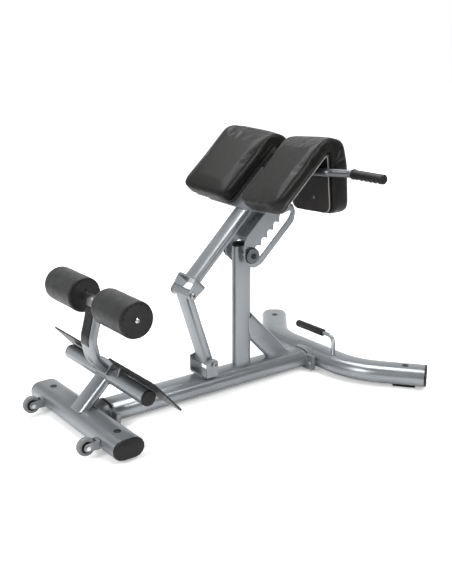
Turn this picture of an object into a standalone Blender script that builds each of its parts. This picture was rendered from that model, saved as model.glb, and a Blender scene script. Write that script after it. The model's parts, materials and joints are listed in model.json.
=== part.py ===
"""A 45 degree roman chair: a bolted base, a swinging link, and a pad carriage that hangs on a rack pin.

Lengths are in millimetres, x from the front crossbar's centre line towards the pads, y from the middle
plane and z from the floor. `finish` turns them into metres and moves x so that the whole footprint is
centred on the origin. `side` is -1 on the left of someone lying on the pads (the -Y side), +1 on the right.
"""

import math

import bmesh
import bpy
from mathutils import Matrix, Vector

# ---- driving dimensions -------------------------------------------------------------------------------
FRONT_BAR_X = -497.65  # where the front crossbar lies once the footprint is centred
GAP = 0.3  # left between any two neighbouring pieces
SIDES = (("left", -1), ("right", 1))

FOOT_HIGH = 10.0
BASE_WIDE, BASE_HIGH, BASE_WALL = 100.0, 60.0, 3.0
BASE_Z = FOOT_HIGH + BASE_HIGH / 2
BASE_TOP = FOOT_HIGH + BASE_HIGH
TUBE_WIDE, TUBE_THICK, TUBE_WALL = 70.0, 30.0, 2.5

FRONT_HALF = 262.0  # half of the front crossbar, without its caps
CAP_LONG = 8.0
ANCHOR_HOLE_D = 20.0
FRONT_ANCHOR_Y = 203.0
FOOT_PAD = (76.0, 38.0)

RAIL_FROM, RAIL_TO = 80.6, 850.0
PLATE = 6.5
FLANGE_WIDE, FLANGE_HIGH, FLANGE_Z = 160.0, 52.0, 34.0

REAR_BAR_X = 919.0
REAR_SWEEP = math.radians(39.0)
REAR_END = (1070.0, 394.0)  # where the bent arm's tube ends
REAR_BEND_R = 240.0
REAR_ANCHOR_BACK = 65.0

POST_X, POST_TOP = 597.0, 484.0
BRACE_FROM, BRACE_TO = (612.0, 221.0), (770.0, 56.0)

PIN = (596.5, 458.5)
PIN_D, SEAT_R = 13.0, 7.3
DISC_D = 50.0

LINK_FOOT, LINK_HEAD = (449.0, 118.0), (368.5, 365.0)
SLEEVE_D, SLEEVE_HALF = 30.0, 44.0
PIVOT_D = 12.0
EAR_IN, EAR_OUT = 45.0, 50.0
DRAIN_D = 8.0

BEAM_SLOPE = math.radians(44.0)
BEAM_FROM, BEAM_LONG = (403.0, 401.5), 457.0

PAD_SLOPE = math.radians(43.0)
PAD_IN, PAD_OUT = 36.5, 250.0
PAD_SHIFT = (-22.5, 15.5)  # how far the pads move from their inner to their outer side
PAD_THICK, BOARD_THICK = 45.0, 10.0
BOARD_INSET = 15.0

HANDLE_D, GRIP_D = 25.0, 31.0
HANDLE_MID = (731.0, 721.0)  # where the handle crosses the beam's end
HANDLE_SIDE = (731.5, 251.0, 737.0)  # where it leaves the pads' outer side
HANDLE_OUT = (792.0, 732.0)
GRIP_IN, GRIP_OUT = 301.0, 423.0

ROLLER = (59.0, 395.5)
ROLLER_D, ROLLER_IN, ROLLER_OUT = 110.0, 66.0, 235.0
AXLE_D = 28.0

FOOT_TUBE = (87.0, 159.0)
FOOT_TUBE_D, FOOT_TUBE_HALF = 48.0, 232.0
FOOTPLATE_TOP = (60.0, 229.5)
FOOTPLATE_SLOPE = math.radians(-48.5)
FOOTPLATE_LONG, FOOTPLATE_THICK = 140.0, 5.0
FOOTPLATE_IN, FOOTPLATE_OUT = 50.0, 307.0

WHEEL = (-89.0, 179.0, 39.0)
WHEEL_D, WHEEL_WIDE = 55.0, 20.0

HAUL_ROD_D, HAUL_GRIP_D = 14.0, 26.0
HAUL_FOOT = (903.0, -127.0)
HAUL_TOP = (922.0, 128.0)
HAUL_GRIP = (-55.0, 80.0)

# ---- materials ------------------------------------------------------------------------------------------
LOOKS = {
    "silver_paint": ((0.30, 0.31, 0.32), 0.38, 0.55),
    "black_plastic": ((0.02, 0.02, 0.022), 0.45, 0.0),
    "black_vinyl": ((0.015, 0.014, 0.013), 0.42, 0.0),
    "pad_board": ((0.10, 0.10, 0.10), 0.55, 0.0),
    "roller_foam": ((0.035, 0.037, 0.04), 0.60, 0.0),
    "black_steel": ((0.03, 0.03, 0.032), 0.40, 0.2),
    "chrome": ((0.75, 0.75, 0.76), 0.15, 1.0),
    "grip_rubber": ((0.02, 0.02, 0.02), 0.65, 0.0),
    "grey_tyre": ((0.16, 0.165, 0.17), 0.60, 0.0),
    "foot_rubber": ((0.02, 0.02, 0.02), 0.75, 0.0),
}


def look(name):
    """The Principled material with this name, made the first time it is asked for."""
    if name in bpy.data.materials:
        return bpy.data.materials[name]
    colour, roughness, metallic = LOOKS[name]
    material = bpy.data.materials.new(name)
    material.use_nodes = True
    shader = material.node_tree.nodes["Principled BSDF"]
    shader.inputs["Base Color"].default_value = (*colour, 1.0)
    shader.inputs["Roughness"].default_value = roughness
    shader.inputs["Metallic"].default_value = metallic
    return material


# ---- moving bodies --------------------------------------------------------------------------------------
BODY_AXES = {
    "base": (0.0, 0.0, 0.0),
    "link": (LINK_FOOT[0], 0.0, LINK_FOOT[1]),
    "carriage": (LINK_HEAD[0], 0.0, LINK_HEAD[1]),
    "roller_left": (ROLLER[0], -ROLLER_IN, ROLLER[1]),
    "roller_right": (ROLLER[0], ROLLER_IN, ROLLER[1]),
    "wheel_left": (WHEEL[0], -WHEEL[1], WHEEL[2]),
    "wheel_right": (WHEEL[0], WHEEL[1], WHEEL[2]),
}
TO_METRES = 0.001


def in_metres(point):
    return Vector((point[0] + FRONT_BAR_X, point[1], point[2])) * TO_METRES


def body_parent(body):
    """The empty on the body's joint axis that every piece of the body hangs from."""
    name = f"{body}_axis"
    if name not in bpy.data.objects:
        empty = bpy.data.objects.new(name, None)
        empty.empty_display_size = 0.05
        empty.location = in_metres(BODY_AXES[body])
        bpy.context.scene.collection.objects.link(empty)
    return bpy.data.objects[name]


def finish(name, mesh_data, body, material, sharp_angle=35.0):
    """Makes the object from a bmesh in millimetres, with its origin on the body's joint axis."""
    parent = body_parent(body)
    bmesh.ops.recalc_face_normals(mesh_data, faces=mesh_data.faces[:])
    for vertex in mesh_data.verts:
        vertex.co = in_metres(vertex.co) - parent.location
    mesh = bpy.data.meshes.new(name)
    mesh_data.to_mesh(mesh)
    mesh_data.free()
    mesh.shade_smooth()
    mesh.set_sharp_from_angle(angle=math.radians(sharp_angle))
    mesh.materials.append(look(material))
    obj = bpy.data.objects.new(name, mesh)
    obj.parent = parent
    bpy.context.scene.collection.objects.link(obj)
    return obj


def combine(obj, operation, tool_data):
    """Cuts or joins a bmesh in millimetres into the object, and leaves no helper behind."""
    tool = finish("tool", tool_data, "base", "silver_paint")
    tool.parent = None
    tool.matrix_world = body_parent("base").matrix_world
    tool.location = in_metres(BODY_AXES["base"])
    bpy.context.view_layer.update()
    modifier = obj.modifiers.new("combine", "BOOLEAN")
    modifier.operation = operation
    modifier.solver = "EXACT"
    modifier.object = tool
    bpy.context.view_layer.update()
    graph = bpy.context.evaluated_depsgraph_get()
    joined = bpy.data.meshes.new_from_object(obj.evaluated_get(graph))
    old = obj.data
    obj.modifiers.clear()
    obj.data = joined
    joined.name = obj.name
    bpy.data.meshes.remove(old)
    bpy.data.objects.remove(tool)
    return obj


def cut(obj, *tools):
    for tool in tools:
        combine(obj, "DIFFERENCE", tool)
    return obj


# ---- outlines -------------------------------------------------------------------------------------------
def obround(across, along, steps=7):
    """A slot shape with its straight sides along the longer of its two sizes."""
    radius = min(across, along) / 2
    straight = abs(across - along) / 2
    points = []
    for end in (1, -1):
        for i in range(steps + 1):
            angle = math.pi * i / steps - (math.pi / 2 if end > 0 else -math.pi / 2)
            points.append((end * straight + radius * math.cos(angle), radius * math.sin(angle)))
    if along > across:
        points = [(-b, a) for a, b in points]
    return points


def circle(diameter, steps=28):
    turn = 2 * math.pi / steps
    return [(diameter / 2 * math.cos(i * turn), diameter / 2 * math.sin(i * turn)) for i in range(steps)]


def rounded(corners, radius, steps=4):
    """The polygon with each corner turned into an arc. A corner may be (x, y, its own radius)."""
    points = []
    for i, corner in enumerate(corners):
        here = Vector(corner[:2])
        size = corner[2] if len(corner) > 2 else radius
        before = (Vector(corners[i - 1][:2]) - here).normalized()
        after = (Vector(corners[(i + 1) % len(corners)][:2]) - here).normalized()
        half = before.angle(after) / 2
        if size <= 0 or half > math.radians(89):
            points.append(tuple(here))
            continue
        centre = here + (before + after).normalized() * (size / math.sin(half))
        start = here + before * (size / math.tan(half)) - centre
        turn = start.angle_signed(here + after * (size / math.tan(half)) - centre)
        for k in range(steps + 1):
            angle = -turn * k / steps
            arm = Vector((
                start.x * math.cos(angle) - start.y * math.sin(angle),
                start.x * math.sin(angle) + start.y * math.cos(angle),
            ))
            points.append(tuple(centre + arm))
    return points


def bend_path(corners, radius, steps=6):
    """A path in space with each inner corner turned into an arc."""
    points = [Vector(corners[0])]
    for i in range(1, len(corners) - 1):
        here = Vector(corners[i])
        before = (Vector(corners[i - 1]) - here).normalized()
        after = (Vector(corners[i + 1]) - here).normalized()
        half = before.angle(after) / 2
        centre = here + (before + after).normalized() * (radius / math.sin(half))
        start = here + before * (radius / math.tan(half)) - centre
        end = here + after * (radius / math.tan(half)) - centre
        turn = Matrix.Rotation(start.angle(end) / steps, 3, start.cross(end))
        arm = start
        for _ in range(steps + 1):
            points.append(centre + arm)
            arm = turn @ arm
    points.append(Vector(corners[-1]))
    return points


# ---- solids, as bmeshes in millimetres ------------------------------------------------------------------
def skin(rings, closed=False):
    """A solid through rings of equally many points: capped at both ends, or closed into a loop."""
    data = bmesh.new()
    rows = [[data.verts.new(point) for point in ring] for ring in rings]
    count = len(rows[0])
    for i in range(len(rows) if closed else len(rows) - 1):
        row, following = rows[i], rows[(i + 1) % len(rows)]
        for k in range(count):
            data.faces.new((row[k], row[(k + 1) % count], following[(k + 1) % count], following[k]))
    if not closed:
        data.faces.new(rows[0])
        data.faces.new(rows[-1])
    return data


def frames_along(path, normal):
    """For each point of a flat path: the point, and the sideways step that keeps a tube's width at a bend."""
    normal = Vector(normal)
    steps = [(path[i + 1] - path[i]).normalized() for i in range(len(path) - 1)]
    for i, point in enumerate(path):
        before, after = steps[max(i - 1, 0)], steps[min(i, len(steps) - 1)]
        forward = (before + after).normalized()
        sideways = forward.cross(normal).normalized() / forward.dot(before)
        yield point, sideways


def sweep(path, normal, outline, hole=None):
    """Runs an outline along a flat path. Its points are (sideways in the path's plane, along the normal)."""
    path = [Vector(point) for point in path]
    frames = list(frames_along(path, normal))

    def rings(points):
        return [[at + side * a + Vector(normal) * b for a, b in points] for at, side in frames]

    if hole is None:
        return skin(rings(outline))
    return skin(rings(outline) + rings(hole)[::-1], closed=True)


def round_rings(path, diameter, steps):
    """The rings of a round tube along any path, turned as little as possible from one to the next."""
    steps_along = [(path[i + 1] - path[i]).normalized() for i in range(len(path) - 1)]
    forward = steps_along[0]
    across = forward.orthogonal().normalized()
    rings = []
    for i, point in enumerate(path):
        tangent = (steps_along[max(i - 1, 0)] + steps_along[min(i, len(steps_along) - 1)]).normalized()
        across = forward.rotation_difference(tangent) @ across
        forward = tangent
        other = forward.cross(across)
        rings.append([point + across * a + other * b for a, b in circle(diameter, steps)])
    return rings


def extrude(points, axis, start, end):
    """A prism from an outline in the two other axes, in X, Y, Z order."""
    place = {
        "x": lambda p, t: (t, p[0], p[1]),
        "y": lambda p, t: (p[0], t, p[1]),
        "z": lambda p, t: (p[0], p[1], t),
    }[axis]
    return skin([[place(p, start) for p in points], [place(p, end) for p in points]])


def box(low, high):
    corners = [(low[0], low[1]), (high[0], low[1]), (high[0], high[1]), (low[0], high[1])]
    return extrude(corners, "z", low[2], high[2])


def lathe(profile, centre, side=1, steps=28, axis="y"):
    """Turns a closed (radius, distance) profile round an axis; side mirrors the distances."""
    rings = []
    for i in range(steps):
        angle = 2 * math.pi * i / steps
        ring = []
        for radius, far in profile:
            a, b = radius * math.cos(angle), radius * math.sin(angle)
            offset = (a, side * far, b) if axis == "y" else (a, b, side * far)
            ring.append(Vector(centre) + Vector(offset))
        rings.append(ring)
    return skin(rings, closed=True)


def rod(start, end, diameter, steps=24):
    start, end = Vector(start), Vector(end)
    forward = (end - start).normalized()
    normal = forward.orthogonal().normalized()
    return sweep([start, end], normal, circle(diameter, steps))


def turned(stations, centre, side=1, steps=28, axis="y"):
    """A solid of (radius, distance) stations round an axis, with flat ends."""
    rings = []
    for radius, far in stations:
        ring = []
        for a, b in circle(2 * radius, steps):
            offset = (a, side * far, b) if axis == "y" else (a, b, side * far)
            ring.append(Vector(centre) + Vector(offset))
        rings.append(ring)
    return skin(rings)


def hollow_base_tube(path, normal, flat):
    outer = (BASE_WIDE, BASE_HIGH) if flat else (BASE_HIGH, BASE_WIDE)
    return sweep(path, normal, obround(*outer), obround(*(size - 2 * BASE_WALL for size in outer)))


def slim_tube(path, normal, flat, solid=False, spare=0.0):
    """The 70 x 30 tube; flat puts its wide side in the plane of the path."""
    wide, thick = TUBE_WIDE + 2 * spare, TUBE_THICK + 2 * spare
    outer = (wide, thick) if flat else (thick, wide)
    hole = None if solid else obround(*(size - 2 * TUBE_WALL for size in outer))
    return sweep(path, normal, obround(*outer), hole)


def along(start, slope, far, off=0.0):
    """The (x, z) point `far` along a slope and `off` above it."""
    return (
        start[0] + far * math.cos(slope) - off * math.sin(slope),
        start[1] + far * math.sin(slope) + off * math.cos(slope),
    )


def at_y(point, y):
    return (point[0], y, point[1])


# ---- the base ---------------------------------------------------------------------------------------------
def base_cap(name, start, forward):
    """A domed plug on the end of a base tube; forward is the flat direction out of the tube."""
    start = Vector(start)
    forward = Vector(forward).normalized()
    rings = []
    for far, smaller in ((GAP, 0.0), (CAP_LONG * 0.5, 0.0), (CAP_LONG * 0.85, 2.0), (CAP_LONG, 6.0)):
        sideways = forward.cross(Vector((0, 0, 1)))
        outline = obround(BASE_WIDE - smaller, BASE_HIGH - smaller)
        rings.append([start + forward * far + sideways * a + Vector((0, 0, b)) for a, b in outline])
    finish(name, skin(rings), "base", "black_plastic")


def anchor_cutter(x, y):
    return rod((x, y, FOOT_HIGH - 5), (x, y, BASE_TOP + 5), ANCHOR_HOLE_D)


def rubber_foot(name, hole, out):
    """A flat rubber pad under a base tube, round its bolt-down hole; out points along the tube."""
    hole, out = Vector(hole), Vector(out).normalized()
    sideways = Vector((out.y, -out.x))
    long, wide = FOOT_PAD
    corners = [(-long / 2, -wide / 2), (long / 2, -wide / 2), (long / 2, wide / 2), (-long / 2, wide / 2)]
    outline = [tuple(hole + out * a + sideways * b) for a, b in rounded(corners, 6)]
    foot = finish(name, extrude(outline, "z", 0.0, FOOT_HIGH - GAP), "base", "foot_rubber")
    cut(foot, rod((*hole, -5), (*hole, FOOT_HIGH + 5), ANCHOR_HOLE_D))


def front_foot():
    path = [(0, -FRONT_HALF, BASE_Z), (0, FRONT_HALF, BASE_Z)]
    bar = finish("front_crossbar", hollow_base_tube(path, (0, 0, 1), flat=True), "base", "silver_paint")
    cut(bar, *(anchor_cutter(0, side * FRONT_ANCHOR_Y) for _, side in SIDES))
    for word, side in SIDES:
        base_cap(f"front_cap_{word}", (0, side * FRONT_HALF, BASE_Z), (0, side, 0))
        rubber_foot(f"front_foot_{word}", (0, side * FRONT_ANCHOR_Y), (0, side))


def rear_foot():
    end_x, end_y = REAR_END
    out = Vector((math.sin(REAR_SWEEP), math.cos(REAR_SWEEP)))
    knee_y = end_y - (end_x - REAR_BAR_X) / math.tan(REAR_SWEEP)
    corners = [
        (end_x, -end_y, BASE_Z), (REAR_BAR_X, -knee_y, BASE_Z),
        (REAR_BAR_X, knee_y, BASE_Z), (end_x, end_y, BASE_Z),
    ]
    path = bend_path(corners, REAR_BEND_R)
    bar = finish("rear_crossbar", hollow_base_tube(path, (0, 0, 1), flat=True), "base", "silver_paint")
    hole = Vector(REAR_END) - out * REAR_ANCHOR_BACK
    cut(bar, *(anchor_cutter(hole.x, side * hole.y) for _, side in SIDES))
    for word, side in SIDES:
        base_cap(f"rear_cap_{word}", (end_x, side * end_y, BASE_Z), (out.x, side * out.y, 0))
        rubber_foot(f"rear_foot_{word}", (hole.x, side * hole.y), (out.x, side * out.y))


def flange(x):
    corners = [(-1, -1), (1, -1), (1, 1), (-1, 1)]
    outline = rounded([(a * FLANGE_WIDE / 2, FLANGE_Z + b * FLANGE_HIGH / 2) for a, b in corners], 6)
    return extrude(outline, "x", x, x + PLATE)


def stub(name, start, end, plate_x, crossbar):
    """The short tube on a crossbar, cut to the crossbar's round side, with its flange."""
    block = extrude([(a, BASE_Z + b) for a, b in obround(BASE_WIDE, BASE_HIGH)], "x", start, end)
    obj = finish(name, block, "base", "silver_paint")
    combine(obj, "UNION", flange(plate_x))
    spare = obround(BASE_WIDE + 2 * GAP, BASE_HIGH + 2 * GAP)
    cut(obj, sweep([(crossbar, -150, BASE_Z), (crossbar, 150, BASE_Z)], (0, 0, 1), spare))


def rail():
    """The main rail, with a flange welded on each end that is bolted to the one on a crossbar's stub."""
    weld = PLATE / 3
    path = [(RAIL_FROM - weld, 0, BASE_Z), (RAIL_TO + weld, 0, BASE_Z)]
    bar = finish("main_rail", hollow_base_tube(path, (0, 0, 1), flat=True), "base", "silver_paint")
    combine(bar, "UNION", flange(RAIL_FROM - PLATE))
    combine(bar, "UNION", flange(RAIL_TO))
    opening = obround(BASE_WIDE - 4 * BASE_WALL, BASE_HIGH - 4 * BASE_WALL)
    for x in (RAIL_FROM, RAIL_TO):
        cut(bar, extrude([(a, BASE_Z + b) for a, b in opening], "x", x - 2 * PLATE, x + 2 * PLATE))
    plate_x = RAIL_FROM - 2 * PLATE - GAP
    stub("front_stub", 20.0, plate_x + weld, plate_x, 0.0)
    plate_x = RAIL_TO + PLATE + GAP
    stub("rear_stub", plate_x + PLATE - weld, REAR_BAR_X - 20.0, plate_x, REAR_BAR_X)


def post_and_brace():
    base = BASE_TOP + GAP
    path = [(POST_X, 0, base), (POST_X, 0, POST_TOP)]
    post = finish("post", slim_tube(path, (0, 1, 0), flat=True), "base", "silver_paint")
    cut(post, rod(at_y(PIN, -40), at_y(PIN, 40), PIN_D + 2 * GAP))
    rings = []
    for z, smaller in ((POST_TOP + GAP, 0.0), (POST_TOP + 8, 0.0), (POST_TOP + 12, 5.0)):
        outline = obround(TUBE_WIDE - smaller, TUBE_THICK - smaller)
        rings.append([(POST_X + a, b, z) for a, b in outline])
    finish("post_cap", skin(rings), "base", "black_plastic")

    path = [(BRACE_FROM[0], 0, BRACE_FROM[1]), (BRACE_TO[0], 0, BRACE_TO[1])]
    brace = finish("brace", slim_tube(path, (0, 1, 0), flat=True), "base", "silver_paint")
    post_space = [(POST_X, 0, base - 30), (POST_X, 0, POST_TOP)]
    cut(
        brace,
        slim_tube(post_space, (0, 1, 0), flat=True, solid=True, spare=GAP),
        box((POST_X, -60, 0), (POST_X + 300, 60, base)),
        box((POST_X - 60, -60, base), (POST_X, 60, POST_TOP)),
    )


def rack_pin():
    """The pin through the post, with a disc on each end that keeps the rack plates on it."""
    pin = turned([(PIN_D / 2, -59.7), (PIN_D / 2, 59.7)], at_y(PIN, 0), steps=24)
    finish("rack_pin", pin, "base", "chrome")
    for word, side in SIDES:
        half = DISC_D / 2
        stations = [
            (half - 1, 60.0), (half, 61.0), (half, 64.5), (half - 1.5, 66.0), (8.0, 66.0), (8.0, 69.0),
            (6.5, 70.2), (4.0, 70.2), (4.0, 68.0),
        ]
        finish(f"pin_disc_{word}", turned(stations, at_y(PIN, 0), side, 28), "base", "silver_paint")


def ear_arc(centre, radius, first, last, steps=8):
    """The round end of a bracket's ear; angles in degrees, anticlockwise from +X."""
    turns = [math.radians(first + (last - first) * k / steps) for k in range(steps + 1)]
    return [(centre[0] + radius * math.cos(a), centre[1] + radius * math.sin(a)) for a in turns]


def u_strip(floor, top):
    """The section of a bent U strip in (y, height): its floor from `floor` up, its ears as high as `top`."""
    return rounded([
        (-EAR_OUT, top, 0), (-EAR_OUT, floor, 10), (EAR_OUT, floor, 10), (EAR_OUT, top, 0),
        (EAR_IN, top, 0), (EAR_IN, floor + PLATE, 4), (-EAR_IN, floor + PLATE, 4), (-EAR_IN, top, 0),
    ], 0)


def link_bracket():
    """The U bracket on the rail that carries the foot of the link, open at both ends."""
    x, z = LINK_FOOT
    low, reach, back = BASE_TOP + GAP, 17.0, 28.0
    obj = finish("link_bracket", extrude(u_strip(low, z + 40), "x", x - 60, x + 60), "base", "silver_paint")
    ear = [(x - back, z + 9), (x - back, low - 5), (x + reach, low - 5)]
    ear += ear_arc(LINK_FOOT, reach, 0, 125)
    combine(obj, "INTERSECT", extrude(ear, "y", -60, 60))
    cut(obj, rod(at_y(LINK_FOOT, -70), at_y(LINK_FOOT, 70), PIVOT_D + 2 * GAP))


def pivot_bolt(name, centre, body):
    """A through bolt along Y, with a domed head at one end and a nut at the other."""
    half, shank = EAR_OUT + GAP, PIVOT_D / 2
    stations = [
        (5.0, -half - 9), (9.0, -half - 6), (9.5, -half), (shank, -half), (shank, half), (9.5, half),
        (9.0, half + 6), (5.0, half + 9), (4.0, half + 9), (4.0, half + 6),
    ]
    finish(name, turned(stations, at_y(centre, 0), 1, 24), body, "chrome")


def link():
    foot, head = Vector(LINK_FOOT), Vector(LINK_HEAD)
    up = (head - foot).normalized()
    radius = SLEEVE_D / 2
    tube_path = [at_y(foot + up * 4, 0), at_y(head - up * 4, 0)]
    tube = finish("lower_link", slim_tube(tube_path, (0, 1, 0), flat=False), "link", "silver_paint")
    for centre in (LINK_FOOT, LINK_HEAD):
        sleeve = turned([(radius - 1, -SLEEVE_HALF), (radius, 1 - SLEEVE_HALF), (radius, SLEEVE_HALF - 1),
                         (radius - 1, SLEEVE_HALF)], at_y(centre, 0))
        combine(tube, "UNION", sleeve)
        cut(tube, rod(at_y(centre, -60), at_y(centre, 60), PIVOT_D + 2 * GAP))
    drain = foot + up * 45
    cut(tube, rod(at_y(drain, 0), (drain.x + TUBE_THICK, 0, drain.y + 8), DRAIN_D))


# ---- the carriage -----------------------------------------------------------------------------------------
def beam_point(far, off=0.0):
    return along(BEAM_FROM, BEAM_SLOPE, far, off)


def elbow_bracket():
    """The U bracket at the beam's lower end; its ears taper to the elbow pivot."""
    head, web = Vector(LINK_HEAD), Vector(beam_point(-GAP))
    back = Vector((math.cos(BEAM_SLOPE), math.sin(BEAM_SLOPE)))
    across = Vector((-back.y, back.x))
    rings = []
    for far in (-80, 80):
        rings.append([
            (*(web + across * far - back * depth), y) for y, depth in u_strip(0.0, 110.0)
        ])
    strip = skin([[(x, y, z) for x, z, y in ring] for ring in rings])
    obj = finish("elbow_bracket", strip, "carriage", "silver_paint")
    turn = math.degrees(BEAM_SLOPE)
    ear = [tuple(web - across * 25 + back * 5), tuple(web + across * 25 + back * 5), tuple(web + across * 25)]
    ear += ear_arc(LINK_HEAD, 17.0, turn + 75, turn + 285) + [tuple(web - across * 25)]
    combine(obj, "INTERSECT", extrude(ear, "y", -60, 60))
    cut(obj, rod(at_y(LINK_HEAD, -70), at_y(LINK_HEAD, 70), PIVOT_D + 2 * GAP))


def beam():
    """The tube from the elbow up to the handle, which crosses its saddled end."""
    path = [at_y(beam_point(0), 0), at_y(beam_point(BEAM_LONG), 0)]
    tube = finish("beam", slim_tube(path, (0, 1, 0), flat=False), "carriage", "silver_paint")
    cut(tube, rod(at_y(HANDLE_MID, -60), at_y(HANDLE_MID, 60), HANDLE_D + 2 * GAP))


# The rack's outline, from its lowest corner round: the teeth hang below the beam, and a guard bar closes
# the window that the pin runs in.
RACK_STEP = (24.7, 22.6)
RACK_SEATS = 6
TIP = (17.4, 3.6)  # a tooth's tip, from the seat before it
FIRST_TIP = (16.5, 16.5)  # the first tooth is cut back, so that the pin can leave the lowest seat
RACK_PLATE_IN, RACK_PLATE_OUT = 47.5, 52.5
RACK_TOP = ((579.0, 521.0), (690.0, 625.6))
RACK_GUARD = ((624.5, 440.5, 0), (632.6, 447.0, 0), (753.0, 559.5, 6), (763.5, 578.5, 6), (757.0, 587.0, 0))


def rack_outline():
    return rounded(
        [
            (572, 503, 12), (571, 447, 26), (603, 411, 26), (640, 425, 12), (773, 548, 18), (780, 580, 14),
            (769, 604, 4), (705, 640, 6), (579, 521, 6),
        ],
        8,
    )


def rack_window():
    """The closed opening with its notches, as one loop: along the guard, then back over the teeth."""
    guard = [(PIN[0], PIN[1] - SEAT_R - 0.1, 0), *RACK_GUARD]
    points = rounded(guard, 0)
    for seat in range(RACK_SEATS - 1, -1, -1):
        x, z = PIN[0] + RACK_STEP[0] * seat, PIN[1] + RACK_STEP[1] * seat
        if seat < RACK_SEATS - 1:
            tip = TIP if seat else FIRST_TIP
            points.append((x + tip[0], z + tip[1]))
        first, last = (60, 180) if seat else (96, 252)
        points += ear_arc((x, z), SEAT_R, first, last, steps=5 if seat else 7)
    return points


def rack():
    """A folded channel under the beam: two notched plates and their web, welded on through a spacer."""
    low, high = Vector(RACK_TOP[0]), Vector(RACK_TOP[1])
    forward = (high - low).normalized()
    up = Vector((-forward.y, forward.x))
    channel = finish(
        "rack", extrude(rack_outline(), "y", -RACK_PLATE_OUT, RACK_PLATE_OUT), "carriage", "silver_paint"
    )
    wall = RACK_PLATE_OUT - RACK_PLATE_IN
    inside = [low - up * wall - forward * 100, low - up * 300 - forward * 100]
    inside += [high - up * 300 + forward * 200, high - up * wall + forward * 200]
    cut(channel, extrude([tuple(p) for p in inside], "y", -RACK_PLATE_IN, RACK_PLATE_IN))
    cut(channel, extrude(rack_window(), "y", -RACK_PLATE_OUT - 5, RACK_PLATE_OUT + 5))
    spacer_from, spacer_long, spacer_high, spacer_half = 62.0, 60.0, 34.0, 22.0
    start = low + forward * spacer_from - up * 2
    end = start + forward * spacer_long
    block = [start, end, end + up * spacer_high, start + up * spacer_high]
    combine(channel, "UNION", extrude([tuple(p) for p in block], "y", -spacer_half, spacer_half))
    beam_path = [at_y(beam_point(0), 0), at_y(beam_point(BEAM_LONG), 0)]
    above = [beam_point(100), beam_point(400), beam_point(400, 60), beam_point(100, 60)]
    cut(
        channel,
        slim_tube(beam_path, (0, 1, 0), flat=False, solid=True, spare=GAP),
        extrude(above, "y", -60, 60),
    )


# The pad's section at its outer side. Leaf lines run from the low end up to the apex and down the rear.
PAD_LOW, PAD_HIGH = (524.5, 660.5), (724.5, 847.0)
REAR_TOP_OUT, REAR_MID_OUT, REAR_LOW_OUT = (802.0, 829.0), (823.0, 752.0), (834.0, 640.0)
REAR_BOTTOM = 599.0
REAR_INNER = ((745.5, 729.0), (757.5, 607.0))


def line_cross(a, b, c, d):
    """Where the line through a and b meets the line through c and d."""
    r, s = Vector(b) - Vector(a), Vector(d) - Vector(c)
    t = (Vector(c) - Vector(a)).cross(s) / r.cross(s)
    return Vector(a) + r * t


def leaf_lines(depth):
    """The front leaf's line `depth` under the top face, and the rear leaf's line just as deep."""
    total = PAD_THICK + BOARD_THICK + GAP
    front = (along(PAD_LOW, PAD_SLOPE, 0, -depth), along(PAD_LOW, PAD_SLOPE, 100, -depth))
    (x0, z0), (x1, z1) = REAR_INNER
    out = Vector((z0 - z1, x1 - x0)).normalized() * (total - depth)
    rear = ((x0 + out.x, z0 + out.y), (x1 + out.x, z1 + out.y))
    return front, rear


def pad_section(inset, trim):
    """The bent cushion's section: inset from its faces, and trimmed along both leaves."""
    front, rear = leaf_lines(PAD_THICK - inset)
    knee = line_cross(*front, *rear)
    slope = Vector((math.cos(PAD_SLOPE), math.sin(PAD_SLOPE)))
    normal = Vector((-slope.y, slope.x))
    low = Vector(PAD_LOW) + slope * trim
    down = (Vector(rear[1]) - Vector(rear[0])).normalized()
    foot = Vector(rear[0]) + down * ((rear[0][1] - REAR_BOTTOM - trim) / -down.y)
    corners = [
        (*(low - normal * inset), 16),
        (*(Vector(PAD_HIGH) - normal * inset), 55),
        (REAR_TOP_OUT[0] - inset * 0.8, REAR_TOP_OUT[1] - inset * 0.7, 38),
        (REAR_MID_OUT[0] - inset, REAR_MID_OUT[1], 60),
        (REAR_LOW_OUT[0] - inset, REAR_BOTTOM + trim, 16),
        (*foot, 3),
        (*knee, 14),
        (*(low - normal * (PAD_THICK - inset)), 3),
    ]
    return rounded(corners, 3, steps=5)


def board_section():
    """The bent board's section, set back a little from both ends of the cushion."""
    set_back = 7.0
    top_front, top_rear = leaf_lines(PAD_THICK + GAP)
    low_front, low_rear = leaf_lines(PAD_THICK + GAP + BOARD_THICK)
    slope = Vector((math.cos(PAD_SLOPE), math.sin(PAD_SLOPE)))
    start = Vector(top_front[0]) + slope * set_back
    under = Vector(low_front[0]) + slope * set_back
    bottom = REAR_BOTTOM + set_back

    def at_height(line, z):
        a, b = Vector(line[0]), Vector(line[1])
        return a + (b - a) * ((z - a.y) / (b.y - a.y))

    corners = [
        (*start, 2), (*line_cross(*top_front, *top_rear), 14), (*at_height(top_rear, bottom), 2),
        (*at_height(low_rear, bottom), 2), (*line_cross(*low_front, *low_rear), 5), (*under, 2),
    ]
    return rounded(corners, 2, steps=3)


def pad_ring(section, side, y):
    """Places a section at the distance y from the middle plane, moved along the pad's roll."""
    share = (y - PAD_OUT) / (PAD_IN - PAD_OUT)
    return [
        (x - PAD_SHIFT[0] * share, side * y, z - PAD_SHIFT[1] * share)
        for x, z in section
    ]


def pad(word, side):
    edge, corner = 14.0, 34.0
    rings = []
    for depth in (0.0, 2.0, 6.0, 14.0, 34.0):
        inset = edge - math.sqrt(max(edge**2 - max(edge - depth, 0) ** 2, 0))
        trim = corner - math.sqrt(corner**2 - (corner - depth) ** 2)
        rings.append((depth, pad_section(inset, trim)))
    placed = [pad_ring(section, side, PAD_IN + depth) for depth, section in rings]
    placed += [pad_ring(section, side, PAD_OUT - depth) for depth, section in reversed(rings)]
    finish(f"pad_{word}", skin(placed), "carriage", "black_vinyl")


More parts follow.
